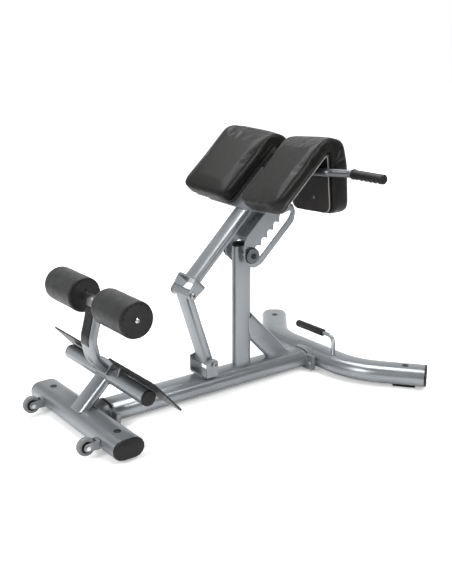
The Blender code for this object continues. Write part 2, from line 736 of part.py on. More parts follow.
def board(word, side):
    section = board_section()
    near, far = PAD_IN + 3, PAD_OUT - BOARD_INSET
    data = skin([pad_ring(section, side, near), pad_ring(section, side, far)])
    finish(f"pad_board_{word}", data, "carriage", "pad_board")


def pad_plate():
    """The steel plate on the beam that both boards are screwed to: flat in the middle, rising outwards."""
    slope = Vector((math.cos(PAD_SLOPE), math.sin(PAD_SLOPE)))
    long, half = 166.0, 150.0
    depth = PAD_THICK + BOARD_THICK + 3 * GAP
    start = Vector(along(PAD_LOW, PAD_SLOPE, 6, -depth))
    down = Vector((slope.y, -slope.x)) * PLATE
    rings = []
    for far in (0.0, long):
        top, under = [], []
        for y in (-half, -PAD_IN, PAD_IN, half):
            share = (abs(y) - PAD_OUT) / (PAD_IN - PAD_OUT)
            at = start + slope * far - Vector(PAD_SHIFT) * share
            top.append((at.x, y, at.y))
            under.append((at.x + down.x, y, at.y + down.y))
        rings.append(top + under[::-1])
    plate = finish("pad_plate", skin(rings), "carriage", "silver_paint")
    path = [at_y(beam_point(0), 0), at_y(beam_point(BEAM_LONG), 0)]
    return cut(plate, slim_tube(path, (0, 1, 0), flat=False, solid=True, spare=GAP))


def handle():
    """One bent tube across the beam's end, with a grip on each of its cranked ends."""
    out_x, out_z = HANDLE_OUT
    middle = (HANDLE_MID[0], 60.0, HANDLE_MID[1])
    half = [(out_x, GRIP_OUT, out_z), (out_x, GRIP_IN - 14, out_z), HANDLE_SIDE, middle]
    corners = [(x, -y, z) for x, y, z in half] + half[::-1]
    path = bend_path(corners, 22, steps=4)
    bar = skin(round_rings(path, HANDLE_D, 20))
    finish("handle_bar", bar, "carriage", "silver_paint")
    for word, side in SIDES:
        hand_grip(f"handle_grip_{word}", side)


def hand_grip(name, side):
    """A rubber grip on the handle's end, with finger waves and a small flange at each end."""
    inner, outer = HANDLE_D / 2 + GAP, GRIP_D / 2
    length = GRIP_OUT - GRIP_IN
    profile = [(inner, 0.0), (outer + 3, 0.0), (outer + 3, 5.0)]
    waves, steps = 5, 30
    for i in range(steps + 1):
        share = i / steps
        profile.append((outer - 0.9 + 0.9 * math.cos(2 * math.pi * waves * share), 7 + share * (length - 9)))
    profile += [(outer + 2, length), (outer + 2, length + 3), (outer - 3, length + 5), (4.0, length + 5)]
    profile += [(4.0, length + GAP + 0.4), (inner, length + GAP + 0.4)]
    centre = (HANDLE_OUT[0], side * GRIP_IN, HANDLE_OUT[1])
    finish(name, lathe(profile, centre, side, 20), "carriage", "grip_rubber")


# ---- the ankle end ----------------------------------------------------------------------------------------
def foot_strut():
    low, high = (-19.0, 61.0), (FOOT_TUBE[0], FOOT_TUBE[1] + 4)
    path = [at_y(low, 0), at_y(high, 0)]
    strut = finish("foot_strut", slim_tube(path, (0, 1, 0), flat=False), "base", "silver_paint")
    cut(
        strut,
        box((-120, -60, 0), (140, 60, BASE_TOP + GAP)),
        rod(at_y(FOOT_TUBE, -60), at_y(FOOT_TUBE, 60), FOOT_TUBE_D + 2 * GAP),
    )


def roller_post():
    corners = [(76, 0, 181), (40, 0, 219), (28, 0, 280), (43, 0, 332), (ROLLER[0] - 2, 0, ROLLER[1])]
    path = [Vector(corners[0])] + bend_path(corners, 60, steps=5)[1:]
    post = finish("roller_post", slim_tube(path, (0, 1, 0), flat=False), "base", "silver_paint")
    cut(
        post,
        rod(at_y(FOOT_TUBE, -60), at_y(FOOT_TUBE, 60), FOOT_TUBE_D + 2 * GAP),
        rod(at_y(ROLLER, -60), at_y(ROLLER, 60), AXLE_D + 2 * GAP),
    )


def foot_tube():
    ends = [at_y(FOOT_TUBE, -FOOT_TUBE_HALF), at_y(FOOT_TUBE, FOOT_TUBE_HALF)]
    tube = sweep(ends, (0, 0, 1), circle(FOOT_TUBE_D, 32), circle(FOOT_TUBE_D - 5, 32))
    finish("foot_tube", tube, "base", "silver_paint")
    for word, side in SIDES:
        end = FOOT_TUBE_HALF + GAP
        half = FOOT_TUBE_D / 2
        stations = [(half, end), (half, end + 3.5), (half - 2.5, end + 5.5)]
        cap = turned(stations, at_y(FOOT_TUBE, 0), side)
        finish(f"foot_tube_cap_{word}", cap, "base", "black_plastic")
        gusset(word, side)
        footplate(word, side)


def gusset(word, side):
    corners = [(56, 176), (86, 206), (132, 174), (102, 144)]
    near, far = sorted((side * 35.5, side * 40.5))
    plate = extrude(rounded(corners, 5), "y", near, far)
    cheek = finish(f"foot_gusset_{word}", plate, "base", "silver_paint")
    cut(cheek, rod(at_y(FOOT_TUBE, -60), at_y(FOOT_TUBE, 60), FOOT_TUBE_D + 2 * GAP))


def footplate(word, side):
    """A thin sloping plate for the sole, on a tab welded to the foot tube."""
    inner, outer = FOOTPLATE_IN, FOOTPLATE_OUT
    corners = [(0, inner), (FOOTPLATE_LONG, inner), (FOOTPLATE_LONG, outer), (0, outer)]
    outline = rounded(corners, 12)

    def ring(off):
        points = [along(FOOTPLATE_TOP, FOOTPLATE_SLOPE, far, off) for far, _ in outline]
        return [(x, side * y, z) for (x, z), (_, y) in zip(points, outline)]

    finish(f"footplate_{word}", skin([ring(0.0), ring(FOOTPLATE_THICK)]), "base", "black_steel")
    tab_corners = ((34, -GAP), (72, -GAP), (72, -10), (46, -24))
    tab = [along(FOOTPLATE_TOP, FOOTPLATE_SLOPE, far, off) for far, off in tab_corners]
    near, far = sorted((side * 82, side * 88))
    holder = finish(f"footplate_tab_{word}", extrude(tab, "y", near, far), "base", "silver_paint")
    cut(holder, rod(at_y(FOOT_TUBE, -240), at_y(FOOT_TUBE, 240), FOOT_TUBE_D + 2 * GAP))


def rollers():
    """Two foam rollers that turn on one axle, each between its own end caps."""
    near, far = ROLLER_IN + 3, ROLLER_OUT - 3
    stub_d, head_d = 9.0, 14.0
    half_axle = [
        (AXLE_D / 2, far - 1), (stub_d / 2, far - 1), (stub_d / 2, ROLLER_OUT + GAP),
        (head_d / 2, ROLLER_OUT + GAP), (head_d / 2, ROLLER_OUT + 2), (head_d / 2 - 2, ROLLER_OUT + 3.5),
    ]
    stations = [(radius, -out) for radius, out in reversed(half_axle)] + half_axle
    finish("roller_axle", turned(stations, at_y(ROLLER, 0)), "base", "chrome")
    half, bore = ROLLER_D / 2, AXLE_D / 2 + GAP
    for word, side in SIDES:
        centre = at_y(ROLLER, 0)
        body = f"roller_{word}"
        profile = [
            (bore, near), (half - 5, near), (half - 1.5, near + 1.5), (half, near + 5),
            (half, far - 5), (half - 1.5, far - 1.5), (half - 5, far), (bore, far),
        ]
        finish(f"roller_{word}", lathe(profile, centre, side, 36), body, "roller_foam")
        for place, start, end, inner in (
            ("inner", near - GAP, ROLLER_IN, bore), ("outer", far + GAP, ROLLER_OUT, stub_d / 2 + GAP),
        ):
            rim = half - 7
            disc = [(inner, start), (rim, start), (rim, (start + end) / 2), (rim - 2, end), (inner, end)]
            finish(f"roller_cap_{place}_{word}", lathe(disc, centre, side, 28), body, "black_plastic")


def wheels():
    x, y, z = WHEEL
    for word, side in SIDES:
        centre = (x, side * y, z)
        half, wide = WHEEL_D / 2, WHEEL_WIDE / 2
        profile = [
            (4.3, -wide + 2), (half - 9, -wide + 2), (half - 8, -wide), (half - 3, -wide), (half, -wide + 4),
            (half, wide - 4), (half - 3, wide), (half - 8, wide), (half - 9, wide - 2), (4.3, wide - 2),
        ]
        finish(f"wheel_{word}", lathe(profile, centre, 1, 36), f"wheel_{word}", "grey_tyre")
        fork(word, side)
        head, shank, prong = 6.5, 4.0, wide + 4 + GAP
        half_axle = [(shank, prong), (head, prong), (head, prong + 5)]
        axle = [(radius, -out) for radius, out in reversed(half_axle)] + half_axle
        finish(f"wheel_axle_{word}", turned(axle, centre, 1, 18), "base", "chrome")


def fork(word, side):
    """Two prongs from a base plate on the crossbar's front side."""
    x, y, z = WHEEL
    back = -BASE_WIDE / 2 - GAP
    inner, outer = WHEEL_WIDE / 2 + 1, WHEEL_WIDE / 2 + 4
    outline = rounded([(x - 11, z - 11, 10), (back, z - 14, 0), (back, z + 14, 0), (x - 11, z + 11, 10)], 0)
    low, high = side * y - outer, side * y + outer
    prongs = finish(f"wheel_fork_{word}", extrude(outline, "y", low, high), "base", "silver_paint")
    cut(
        prongs,
        box((x - 40, side * y - inner, z - 40), (back - 8, side * y + inner, z + 40)),
        rod((x, low - 5, z), (x, high + 5, z), 8 + 2 * GAP),
    )


def haul_handle():
    """The cranked rod on the rear crossbar that the bench is lifted by, to roll it on its wheels."""
    foot_x, foot_y = HAUL_FOOT
    top_x, top_z = HAUL_TOP
    low, bend = Vector((foot_x, foot_y, BASE_TOP + GAP)), Vector((top_x, foot_y + 22, top_z))
    corners = [low, bend, Vector((top_x, HAUL_GRIP[1] - 4, top_z))]
    plane = (bend - low).cross(corners[2] - bend).normalized()
    path = bend_path(corners, 36)
    bar = finish("haul_rod", sweep(path, plane, circle(HAUL_ROD_D, 18)), "base", "silver_paint")
    cut(bar, box((foot_x - 40, foot_y - 40, 30), (foot_x + 40, foot_y + 40, BASE_TOP + GAP)))
    inner, outer = HAUL_ROD_D / 2 + GAP, HAUL_GRIP_D / 2
    start, end = HAUL_GRIP
    profile = [
        (inner, start), (outer - 2, start), (outer, start + 3), (outer, end - 3), (outer - 2, end + 2),
        (3.0, end + 2), (3.0, end - 3), (inner, end - 3),
    ]
    finish("haul_grip", lathe(profile, (top_x, 0, top_z), 1, 20), "base", "grip_rubber")


def build():
    for obj in list(bpy.data.objects):
        bpy.data.objects.remove(obj)
    front_foot()
    rear_foot()
    rail()
    post_and_brace()
    rack_pin()
    link_bracket()
    pivot_bolt("link_bolt", LINK_FOOT, "base")
    link()
    elbow_bracket()
    pivot_bolt("elbow_bolt", LINK_HEAD, "carriage")
    beam()
    rack()
    for word, side in SIDES:
        pad(word, side)
        board(word, side)
    pad_plate()
    handle()
    foot_strut()
    roller_post()
    foot_tube()
    rollers()
    wheels()
    haul_handle()


build()
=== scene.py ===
"""Looks of the roman chair: materials for every solid, soft pads, foam rollers, grips, bolts and welds.

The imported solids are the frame. Pieces made here are placed in millimetres from the front crossbar's axis,
the middle plane and the floor, which `at` turns into the frame's metres, and ride on the frame's bodies.
"""

import json
import math

import bmesh
import bpy
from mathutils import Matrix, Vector, noise
from mathutils.bvhtree import BVHTree


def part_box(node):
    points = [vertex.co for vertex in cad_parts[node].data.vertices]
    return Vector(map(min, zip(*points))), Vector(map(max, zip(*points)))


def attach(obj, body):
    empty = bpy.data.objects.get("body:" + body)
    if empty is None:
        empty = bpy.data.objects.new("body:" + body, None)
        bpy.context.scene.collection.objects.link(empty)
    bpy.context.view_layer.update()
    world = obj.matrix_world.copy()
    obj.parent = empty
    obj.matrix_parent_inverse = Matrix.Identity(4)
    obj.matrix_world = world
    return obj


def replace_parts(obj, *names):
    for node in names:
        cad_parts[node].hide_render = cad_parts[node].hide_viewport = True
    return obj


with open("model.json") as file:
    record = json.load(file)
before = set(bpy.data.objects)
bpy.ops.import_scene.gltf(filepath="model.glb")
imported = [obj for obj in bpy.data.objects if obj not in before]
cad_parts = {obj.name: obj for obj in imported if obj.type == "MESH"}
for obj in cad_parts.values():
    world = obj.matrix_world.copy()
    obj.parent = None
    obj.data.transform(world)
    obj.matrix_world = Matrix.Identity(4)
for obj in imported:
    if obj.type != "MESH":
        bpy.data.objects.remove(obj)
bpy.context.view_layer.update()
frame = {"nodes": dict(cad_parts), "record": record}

SIDES = (("left", -1), ("right", 1))
BAR_X = sum(corner.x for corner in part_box("front_crossbar")) / 2

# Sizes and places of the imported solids, in millimetres. A pair is (x, z), or a tube's width and depth.
BASE_TUBE, SLIM_TUBE = (100, 60), (70, 30)
BASE_Z, BASE_TOP = 40, 70
REAR_BAR_X = 919
POST_X = 597
PIN, PIN_FACE = (596.5, 458.5), 60
LINK_FOOT, ELBOW = (449.0, 118.0), (368.5, 365.0)
FOOT_TUBE, FOOT_TUBE_RADIUS = (87, 159), 24
HANDLE, HANDLE_RADIUS = (731, 721), 12.5
GRIP, GRIP_START, GRIP_END = (792.0, 732.0), 301.0, 428.0
BEAM_FOOT, BEAM_SLOPE = Vector((403, 0, 401.5)), math.radians(44.0)
SOLE_EDGE, SOLE_SLOPE, SOLE_THICK = (60.0, 229.5), math.radians(-48.5), 5.0
ROLLER, ROLLER_RADIUS = (59.0, 395.5), 55.0
ROLLER_IN, ROLLER_OUT, ROLLER_CAP = 66.0, 235.0, 3.0
WHEEL, WHEEL_Y = (-89.0, 39.0), 179.0
PAD_THICK, BOARD_THICK = 45, 10
PAD_IN, PAD_OUT = 36.5, 250.0  # where a pad starts and ends across the bench
PAD_SHIFT = Vector((-22.5, 15.5))  # how far a pad's outline moves from its inner to its outer side
PAD_SLOPE = math.radians(43.0)  # of the front leaf
PAD_LOW = Vector((524.5, 660.5))  # the front leaf's lower edge, in the outer outline
REAR_INNER = Vector((745.5, 729.0)), Vector((757.5, 607.0))  # the rear leaf's inner face, from the top
PAD_CORNER = Vector((752.0, 770.0))  # the inner corner of the bend

# The directions that the undersides of a pad's two leaves face.
FRONT_UNDER = Vector((math.sin(PAD_SLOPE), 0, -math.cos(PAD_SLOPE)))
REAR_UNDER = Vector((-0.995, 0, -0.098))


def at(x, y, z):
    """A place in the frame, from millimetres."""
    return Vector((BAR_X + x / 1000, y / 1000, z / 1000))


# ---- shader building --------------------------------------------------------------------------------------
class Graph:
    """A material's nodes, wired up one call at a time."""

    def __init__(self, name):
        self.material = bpy.data.materials.new(name)
        self.material.use_nodes = True
        self.nodes = self.material.node_tree.nodes
        self.links = self.material.node_tree.links
        self.shader = self.nodes["Principled BSDF"]
        self.place = self.add("ShaderNodeTexCoord").outputs["Object"]

    def add(self, kind, inputs=None, **settings):
        node = self.nodes.new(kind)
        for key, value in settings.items():
            setattr(node, key, value)
        for key, value in (inputs or {}).items():
            self.feed(node.inputs[key], value)
        return node

    def feed(self, socket, value):
        if isinstance(value, bpy.types.NodeSocket):
            self.links.new(value, socket)
        else:
            socket.default_value = value

    def stretched(self, scale):
        return self.add("ShaderNodeMapping", {"Vector": self.place, "Scale": scale}).outputs[0]

    def noise(self, scale, detail=3.0, rough=0.55, place=None):
        inputs = {"Vector": place or self.place, "Scale": scale, "Detail": detail, "Roughness": rough}
        return self.add("ShaderNodeTexNoise", inputs).outputs["Fac"]

    def cells(self, scale, feature="F1", place=None):
        inputs = {"Vector": place or self.place, "Scale": scale}
        return self.add("ShaderNodeTexVoronoi", inputs, feature=feature).outputs["Distance"]

    def spread(self, value, low, high, start=0.3, end=0.7):
        """Maps value from start..end to low..high."""
        inputs = {"Value": value, "From Min": start, "From Max": end, "To Min": low, "To Max": high}
        return self.add("ShaderNodeMapRange", inputs).outputs[0]

    def math(self, operation, a, b=0.0):
        node = self.add("ShaderNodeMath", operation=operation)
        self.feed(node.inputs[0], a)
        self.feed(node.inputs[1], b)
        return node.outputs[0]

    def mix(self, factor, a, b):
        node = self.add("ShaderNodeMix", data_type="RGBA")
        self.feed(node.inputs[0], factor)
        self.feed(node.inputs[6], a if isinstance(a, bpy.types.NodeSocket) else (*a, 1.0))
        self.feed(node.inputs[7], b if isinstance(b, bpy.types.NodeSocket) else (*b, 1.0))
        return node.outputs[2]

    def bevel(self, radius):
        return self.add("ShaderNodeBevel", {"Radius": radius}, samples=4).outputs[0]

    def edges(self, rounded):
        """0 where the bevelled normal is within 17 degrees of the face's, rising to 1 at 37 degrees."""
        flat = self.add("ShaderNodeNewGeometry").outputs["Normal"]
        dot = self.add("ShaderNodeVectorMath", operation="DOT_PRODUCT")
        self.feed(dot.inputs[0], rounded)
        self.feed(dot.inputs[1], flat)
        return self.spread(dot.outputs["Value"], 0.0, 1.0, 0.955, 0.80)

    def bump(self, height, strength, distance, normal=None):
        inputs = {"Height": height, "Strength": strength, "Distance": distance}
        if normal is not None:
            inputs["Normal"] = normal
        return self.add("ShaderNodeBump", inputs).outputs[0]

    def finish(self, **sockets):
        for key, value in sockets.items():
            self.feed(self.shader.inputs[key.replace("_", " ")], value)
        return self.material


def grey(value, warmth=0.0):
    """A grey that leans to red, or to blue when warmth is negative."""
    return (value * (1 + warmth), value, value * (1 - warmth))


# ---- materials --------------------------------------------------------------------------------------------
def frame_paint(name, shade, edge):
    """Satin metallic powder coat: fine flakes, orange peel, and paint paler along the edges, partly rubbed
    wear and partly a painted highlight.
    """
    g = Graph(name)
    round_edge = g.bevel(0.0012)
    clouds = g.spread(g.noise(7.0, 4.0), 0.0, 1.0)
    colour = g.mix(clouds, grey(shade * 0.93, -0.06), grey(shade * 1.07, -0.05))
    flakes = g.spread(g.cells(2600.0), 0.0, 0.35, 0.1, 0.6)
    colour = g.mix(flakes, colour, grey(shade * 1.45, -0.05))
    # painted highlight: edges are mixed towards the paler edge grey in noisy patches, partly rubbed wear and
    # partly standing in for light catching rounded edges
    paler_edges = g.math("MULTIPLY", g.edges(round_edge), g.spread(g.noise(60.0, 5.0, 0.7), 0.25, 0.9))
    colour = g.mix(paler_edges, colour, grey(edge, -0.01))
    smears = g.noise(26.0, 6.0, 0.7)
    rough = g.spread(smears, 0.29, 0.38)
    peel = g.bump(g.noise(520.0, 2.0), 0.10, 0.0006, round_edge)
    sand = g.bump(g.noise(3600.0, 1.0), 0.10, 0.0002, peel)
    return g.finish(
        Base_Color=colour, Metallic=0.8, Roughness=rough, Normal=sand, Coat_Weight=0.2, Coat_Roughness=0.12
    )


def weld_metal():
    """The same paint over a weld: a little darker, rough and lumpy."""
    g = Graph("painted_weld")
    colour = g.mix(g.spread(g.noise(240.0), 0.0, 1.0), grey(0.20, -0.03), grey(0.33, -0.02))
    lumps = g.bump(g.noise(900.0, 4.0), 0.5, 0.0005)
    rough = g.spread(g.noise(300.0), 0.40, 0.60)
    return g.finish(Base_Color=colour, Metallic=0.5, Roughness=rough, Normal=lumps)


def moulded_black(name, shade, rough_low, rough_high, grain=1900.0):
    """Black moulded plastic or rubber with a fine eroded texture and greyer, handled edges."""
    g = Graph(name)
    round_edge = g.bevel(0.0010)
    dusty = g.spread(g.noise(38.0, 6.0, 0.7), 0.0, 0.5)
    colour = g.mix(dusty, grey(shade, 0.03), grey(shade * 2.1, 0.03))
    paler_edges = g.math("MULTIPLY", g.edges(round_edge), 0.35)
    colour = g.mix(paler_edges, colour, grey(shade * 4 + 0.03))
    rough = g.spread(g.noise(90.0, 4.0), rough_low, rough_high)
    skin = g.bump(g.noise(grain, 2.0), 0.22, 0.0003, round_edge)
    return g.finish(Base_Color=colour, Roughness=rough, Normal=skin, Specular_IOR_Level=0.3)


def pad_vinyl():
    """Upholstery vinyl: wandering pebbled grain over soft puckers, with cloudy handling marks."""
    g = Graph("black_vinyl")
    ripple = g.add("ShaderNodeTexNoise", {"Vector": g.place, "Scale": 260.0, "Detail": 2.0}).outputs["Color"]
    drift = g.add("ShaderNodeVectorMath", {0: ripple, "Scale": 0.0022}, operation="SCALE").outputs[0]
    wandering = g.add("ShaderNodeVectorMath", {0: g.place, 1: drift}, operation="ADD").outputs[0]
    pebbles = g.cells(620.0, "DISTANCE_TO_EDGE", wandering)
    valleys = g.spread(pebbles, 0.0, 1.0, 0.0, 0.22)
    clouds = g.spread(g.noise(11.0, 5.0), 0.0, 1.0)
    colour = g.mix(clouds, (0.0062, 0.0060, 0.0052), (0.0105, 0.0102, 0.0090))
    colour = g.mix(valleys, grey(0.004), colour)
    rough = g.spread(g.noise(34.0, 5.0, 0.65), 0.28, 0.40)
    puckers = g.bump(g.noise(46.0, 3.0), 0.22, 0.0016)
    grain = g.bump(valleys, 0.34, 0.00035, puckers)
    return g.finish(
        Base_Color=colour,
        Roughness=rough,
        Normal=grain,
        Specular_IOR_Level=0.22,
        Sheen_Weight=0.01,
        Sheen_Roughness=0.4,
    )


def roller_foam():
    """Closed-cell foam with a satin skin: charcoal, with pores, faint ring marks and soft dents."""
    g = Graph("roller_foam")
    pores = g.spread(g.cells(1500.0), 0.0, 1.0, 0.05, 0.55)
    rings = g.noise(1.0, 3.0, 0.6, g.stretched((14.0, 420.0, 14.0)))
    clouds = g.spread(g.noise(16.0, 5.0), 0.0, 1.0)
    colour = g.mix(clouds, (0.0100, 0.0106, 0.0110), (0.0165, 0.0174, 0.0180))
    colour = g.mix(pores, grey(0.006, -0.04), colour)
    rough = g.spread(g.noise(50.0, 4.0), 0.36, 0.50)
    dents = g.bump(g.noise(30.0, 3.0), 0.25, 0.0014)
    turned = g.bump(rings, 0.14, 0.0004, dents)
    skin = g.bump(pores, 0.30, 0.0003, turned)
    return g.finish(
        Base_Color=colour, Roughness=rough, Normal=skin, Specular_IOR_Level=0.36, Sheen_Weight=0.02
    )


def board_look():
    """Dark stained plywood with fine grain and a few open pores."""
    g = Graph("pad_board")
    grain = g.noise(1.0, 7.0, 0.65, g.stretched((26.0, 260.0, 26.0)))
    pores = g.noise(1.0, 2.0, 0.5, g.stretched((160.0, 1900.0, 160.0)))
    colour = g.mix(g.spread(grain, 0.0, 1.0), (0.014, 0.012, 0.011), (0.034, 0.029, 0.026))
    colour = g.mix(g.spread(pores, 0.55, 0.0, 0.34, 0.48), colour, (0.008, 0.006, 0.005))
    rough = g.spread(grain, 0.42, 0.60)
    relief = g.bump(pores, 0.30, 0.0003, g.bump(grain, 0.25, 0.0004))
    return g.finish(Base_Color=colour, Roughness=rough, Normal=relief)


def board_edge_look():
    """The pale plies that show along the boards' cut edge."""
    g = Graph("board_edge")
    plies = g.noise(1.0, 4.0, 0.6, g.stretched((90.0, 90.0, 900.0)))
    colour = g.mix(g.spread(plies, 0.0, 1.0), (0.26, 0.26, 0.25), (0.44, 0.43, 0.42))
    return g.finish(Base_Color=colour, Roughness=0.5, Normal=g.bump(plies, 0.2, 0.0003))


def sole_plate():
    """Black powder coat with raised ribs under the sole, scuffed in patches and pale at the rim."""
    g = Graph("black_steel")
    round_edge = g.bevel(0.0010)
    inputs = {"Vector": g.place, "Scale": 46.0, "Distortion": 0.0}
    waves = g.add("ShaderNodeTexWave", inputs, wave_type="BANDS", bands_direction="Y").outputs["Fac"]
    ribs = g.spread(waves, 0.0, 1.0, 0.42, 0.60)
    scuffs = g.spread(g.noise(80.0, 7.0, 0.75), 0.0, 1.0, 0.52, 0.72)
    colour = g.mix(g.math("MULTIPLY", scuffs, 0.5), grey(0.011), grey(0.035))
    colour = g.mix(g.math("MULTIPLY", g.edges(round_edge), 0.5), colour, grey(0.12))
    relief = g.bump(ribs, 0.5, 0.0006, round_edge)
    sand = g.bump(g.noise(1500.0, 2.0), 0.3, 0.0003, relief)
    rough = g.spread(scuffs, 0.38, 0.55, 0.0, 1.0)
    return g.finish(Base_Color=colour, Roughness=rough, Normal=sand, Specular_IOR_Level=0.3)


def bright_metal(name, shade, rough, scratch=0.06):
    """Plated steel with hairline scratches that run round it, and a little dulling."""
    g = Graph(name)
    hair = g.noise(1.0, 2.0, 0.5, g.stretched((160.0, 2600.0, 160.0)))
    clouds = g.spread(g.noise(45.0, 5.0), 0.0, 1.0)
    colour = g.mix(clouds, grey(shade * 0.88), grey(shade))
    rubs = g.math("ADD", g.spread(hair, 0.0, 0.10), rough)
    return g.finish(Base_Color=colour, Metallic=1.0, Roughness=rubs, Normal=g.bump(hair, scratch, 0.0002))


def tyre_look():
    """Grey non-marking tyre rubber with fine mould lines and floor dust."""
    g = Graph("grey_tyre")
    lines = g.noise(1.0, 2.0, 0.5, g.stretched((30.0, 1500.0, 30.0)))
    dust = g.spread(g.noise(120.0, 6.0, 0.7), 0.0, 1.0)
    colour = g.mix(dust, (0.125, 0.128, 0.132), (0.205, 0.208, 0.212))
    relief = g.bump(lines, 0.25, 0.0003, g.bump(g.noise(900.0), 0.25, 0.0003))
    return g.finish(Base_Color=colour, Roughness=g.spread(dust, 0.5, 0.7, 0.0, 1.0), Normal=relief)


def film_look():
    """A plain gloss black film stuck on the post."""
    g = Graph("black_film")
    clouds = g.spread(g.noise(60.0, 5.0), 0.0, 1.0)
    colour = g.mix(clouds, grey(0.006), grey(0.012))
    ripple = g.bump(g.noise(90.0, 3.0), 0.08, 0.0008)
    rough = g.spread(clouds, 0.16, 0.28, 0.0, 1.0)
    return g.finish(Base_Color=colour, Roughness=rough, Normal=ripple, Specular_IOR_Level=0.3)


def copper_look():
    """Reddish plating, for the screws that hold the boards."""
    material = bright_metal("copper", 0.35, 0.35)
    shader = material.node_tree.nodes["Principled BSDF"]
    shader.inputs["Specular Tint"].default_value = (1, 0.6, 0.5, 1)
    return material


LOOKS = {
    # the last number is the paler edge grey of the frame paints: partly rubbed wear, partly a painted
    # highlight
    "silver_paint": frame_paint("silver_paint", 0.27, 0.50),
    "graphite_paint": frame_paint("graphite_paint", 0.11, 0.24),
    "black_plastic": moulded_black("black_plastic", 0.008, 0.34, 0.50),
    "black_vinyl": pad_vinyl(),
    "pad_board": board_look(),
    "roller_foam": roller_foam(),
    "black_steel": sole_plate(),
    "chrome": bright_metal("chrome", 0.78, 0.14),
    "grip_rubber": moulded_black("grip_rubber", 0.007, 0.36, 0.52, 1400.0),
    "grey_tyre": tyre_look(),
    "foot_rubber": moulded_black("foot_rubber", 0.012, 0.62, 0.80, 900.0),
    "weld": weld_metal(),
    "board_edge": board_edge_look(),
    "film": film_look(),
    "cap_black": moulded_black("cap_black", 0.007, 0.32, 0.46, 1600.0),
    "black_oxide": bright_metal("black_oxide", 0.05, 0.36),
    "zinc": bright_metal("zinc", 0.42, 0.30),
    "copper": copper_look(),
}
DARKER_THAN_SLOT = ("handle_bar", "pin_disc_left", "pin_disc_right")


def dress_solids():
    """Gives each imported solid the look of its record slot, or the graphite paint."""
    slots = {part["node"]: part["material_slot"] for part in frame["record"]["subparts"]}
    smoothing = smooth_shading(32.0)
    for node, obj in frame["nodes"].items():
        look = "graphite_paint" if node in DARKER_THAN_SLOT else slots[node]
        obj.data.materials.clear()
        obj.data.materials.append(LOOKS[look])
        obj.modifiers.new("smoothing", "NODES").node_group = smoothing


def smooth_shading(angle):
    """A modifier group that shades a solid smooth except over edges sharper than angle, in degrees."""
    group = bpy.data.node_groups.new("smoothing", "GeometryNodeTree")
    group.interface.new_socket("Geometry", in_out="INPUT", socket_type="NodeSocketGeometry")
    group.interface.new_socket("Geometry", in_out="OUTPUT", socket_type="NodeSocketGeometry")
    kinds = (
        "NodeGroupInput",
        "GeometryNodeMergeByDistance",
        "GeometryNodeRemoveAttribute",
        "GeometryNodeSetShadeSmooth",
        "GeometryNodeSetShadeSmooth",
        "NodeGroupOutput",
    )
    chain = [group.nodes.new(kind) for kind in kinds]
    merge, plain, faces, edges = chain[1:-1]
    merge.inputs["Distance"].default_value = 0.00002
    plain.inputs["Name"].default_value = "custom_normal"
    faces.domain, edges.domain = "FACE", "EDGE"
    edges.inputs["Shade Smooth"].default_value = False
    for before, after in zip(chain, chain[1:]):
        group.links.new(before.outputs[0], after.inputs[0])
    measured = group.nodes.new("GeometryNodeInputMeshEdgeAngle")
    sharper = group.nodes.new("FunctionNodeCompare")
    sharper.operation = "GREATER_THAN"
    group.links.new(measured.outputs["Unsigned Angle"], sharper.inputs[0])
    sharper.inputs[1].default_value = math.radians(angle)
    group.links.new(sharper.outputs[0], edges.inputs["Selection"])
    return group


# ---- mesh building ----------------------------------------------------------------------------------------
def skin(rings, closed=False):
    """A mesh through rings of equally many points, capped at both ends or closed into a loop."""
    data = bmesh.new()
    rows = [[data.verts.new(point) for point in ring] for ring in rings]
    pairs = list(zip(rows, rows[1:]))
    if closed:
        pairs.append((rows[-1], rows[0]))
    else:
        data.faces.new(rows[0])
        data.faces.new(rows[-1])
    for low, high in pairs:
        for k in range(len(low)):
            after = (k + 1) % len(low)
            data.faces.new((low[k], low[after], high[after], high[k]))
    return data


def piece(name, data, look, body, sharp):
    """Makes an object of the mesh, smooth except over edges sharper than `sharp` degrees, on a body."""
    mesh = bpy.data.meshes.new(name)
    bmesh.ops.recalc_face_normals(data, faces=data.faces[:])
    data.to_mesh(mesh)
    data.free()
    mesh.shade_smooth()
    mesh.set_sharp_from_angle(angle=math.radians(sharp))
    mesh.materials.append(LOOKS[look])
    obj = bpy.data.objects.new(name, mesh)
    bpy.context.scene.collection.objects.link(obj)
    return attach(obj, body)


def angles(steps):
    """Evenly spaced angles round a full turn."""
    return [2 * math.pi * k / steps for k in range(steps)]


def hexagon(flat):
    """Radius of a hexagon at an angle; flat is half the width across its flats."""
    sector = math.pi / 3
    return lambda turn: flat / math.cos((turn % sector) - sector / 2)


def spun(stations, start, axis, steps=36):
    """Rings round an axis. A station is (radius, distance along), and the radius may depend on the angle."""
    axis = Vector(axis).normalized()
    side = axis.orthogonal().normalized()
    up = axis.cross(side)
    rings = []
    for radius, far in stations:
        ring = []
        for turn in angles(steps):
            size = radius(turn) if callable(radius) else radius
            ring.append(start + axis * far + (side * math.cos(turn) + up * math.sin(turn)) * size)
        rings.append(ring)
    return rings


def socket_stations(radius, high):
    """A domed cap-screw head with a hexagon socket, from its seat outwards."""
    flat = radius * 0.48
    dome = [(0.96, 0.0), (1.0, 0.12), (1.0, 0.55), (0.90, 0.82), (0.72, 0.96), (0.60, 1.0)]
    stations = [(radius * across, high * far) for across, far in dome]
    return [*stations, (hexagon(flat), high), (hexagon(flat), high * 0.3)]


def hex_stations(radius, high):
    """A hexagon head or nut with a chamfered crown and a dished middle."""
    flat = radius * 0.87
    collar = [(radius * 1.12, 0.0), (radius * 1.12, high * 0.12)]
    sides = [(hexagon(flat), high * 0.14), (hexagon(flat), high * 0.86)]
    crown = [(flat * 0.96, high), (flat * 0.60, high), (flat * 0.50, high * 0.86)]
    return collar + sides + crown


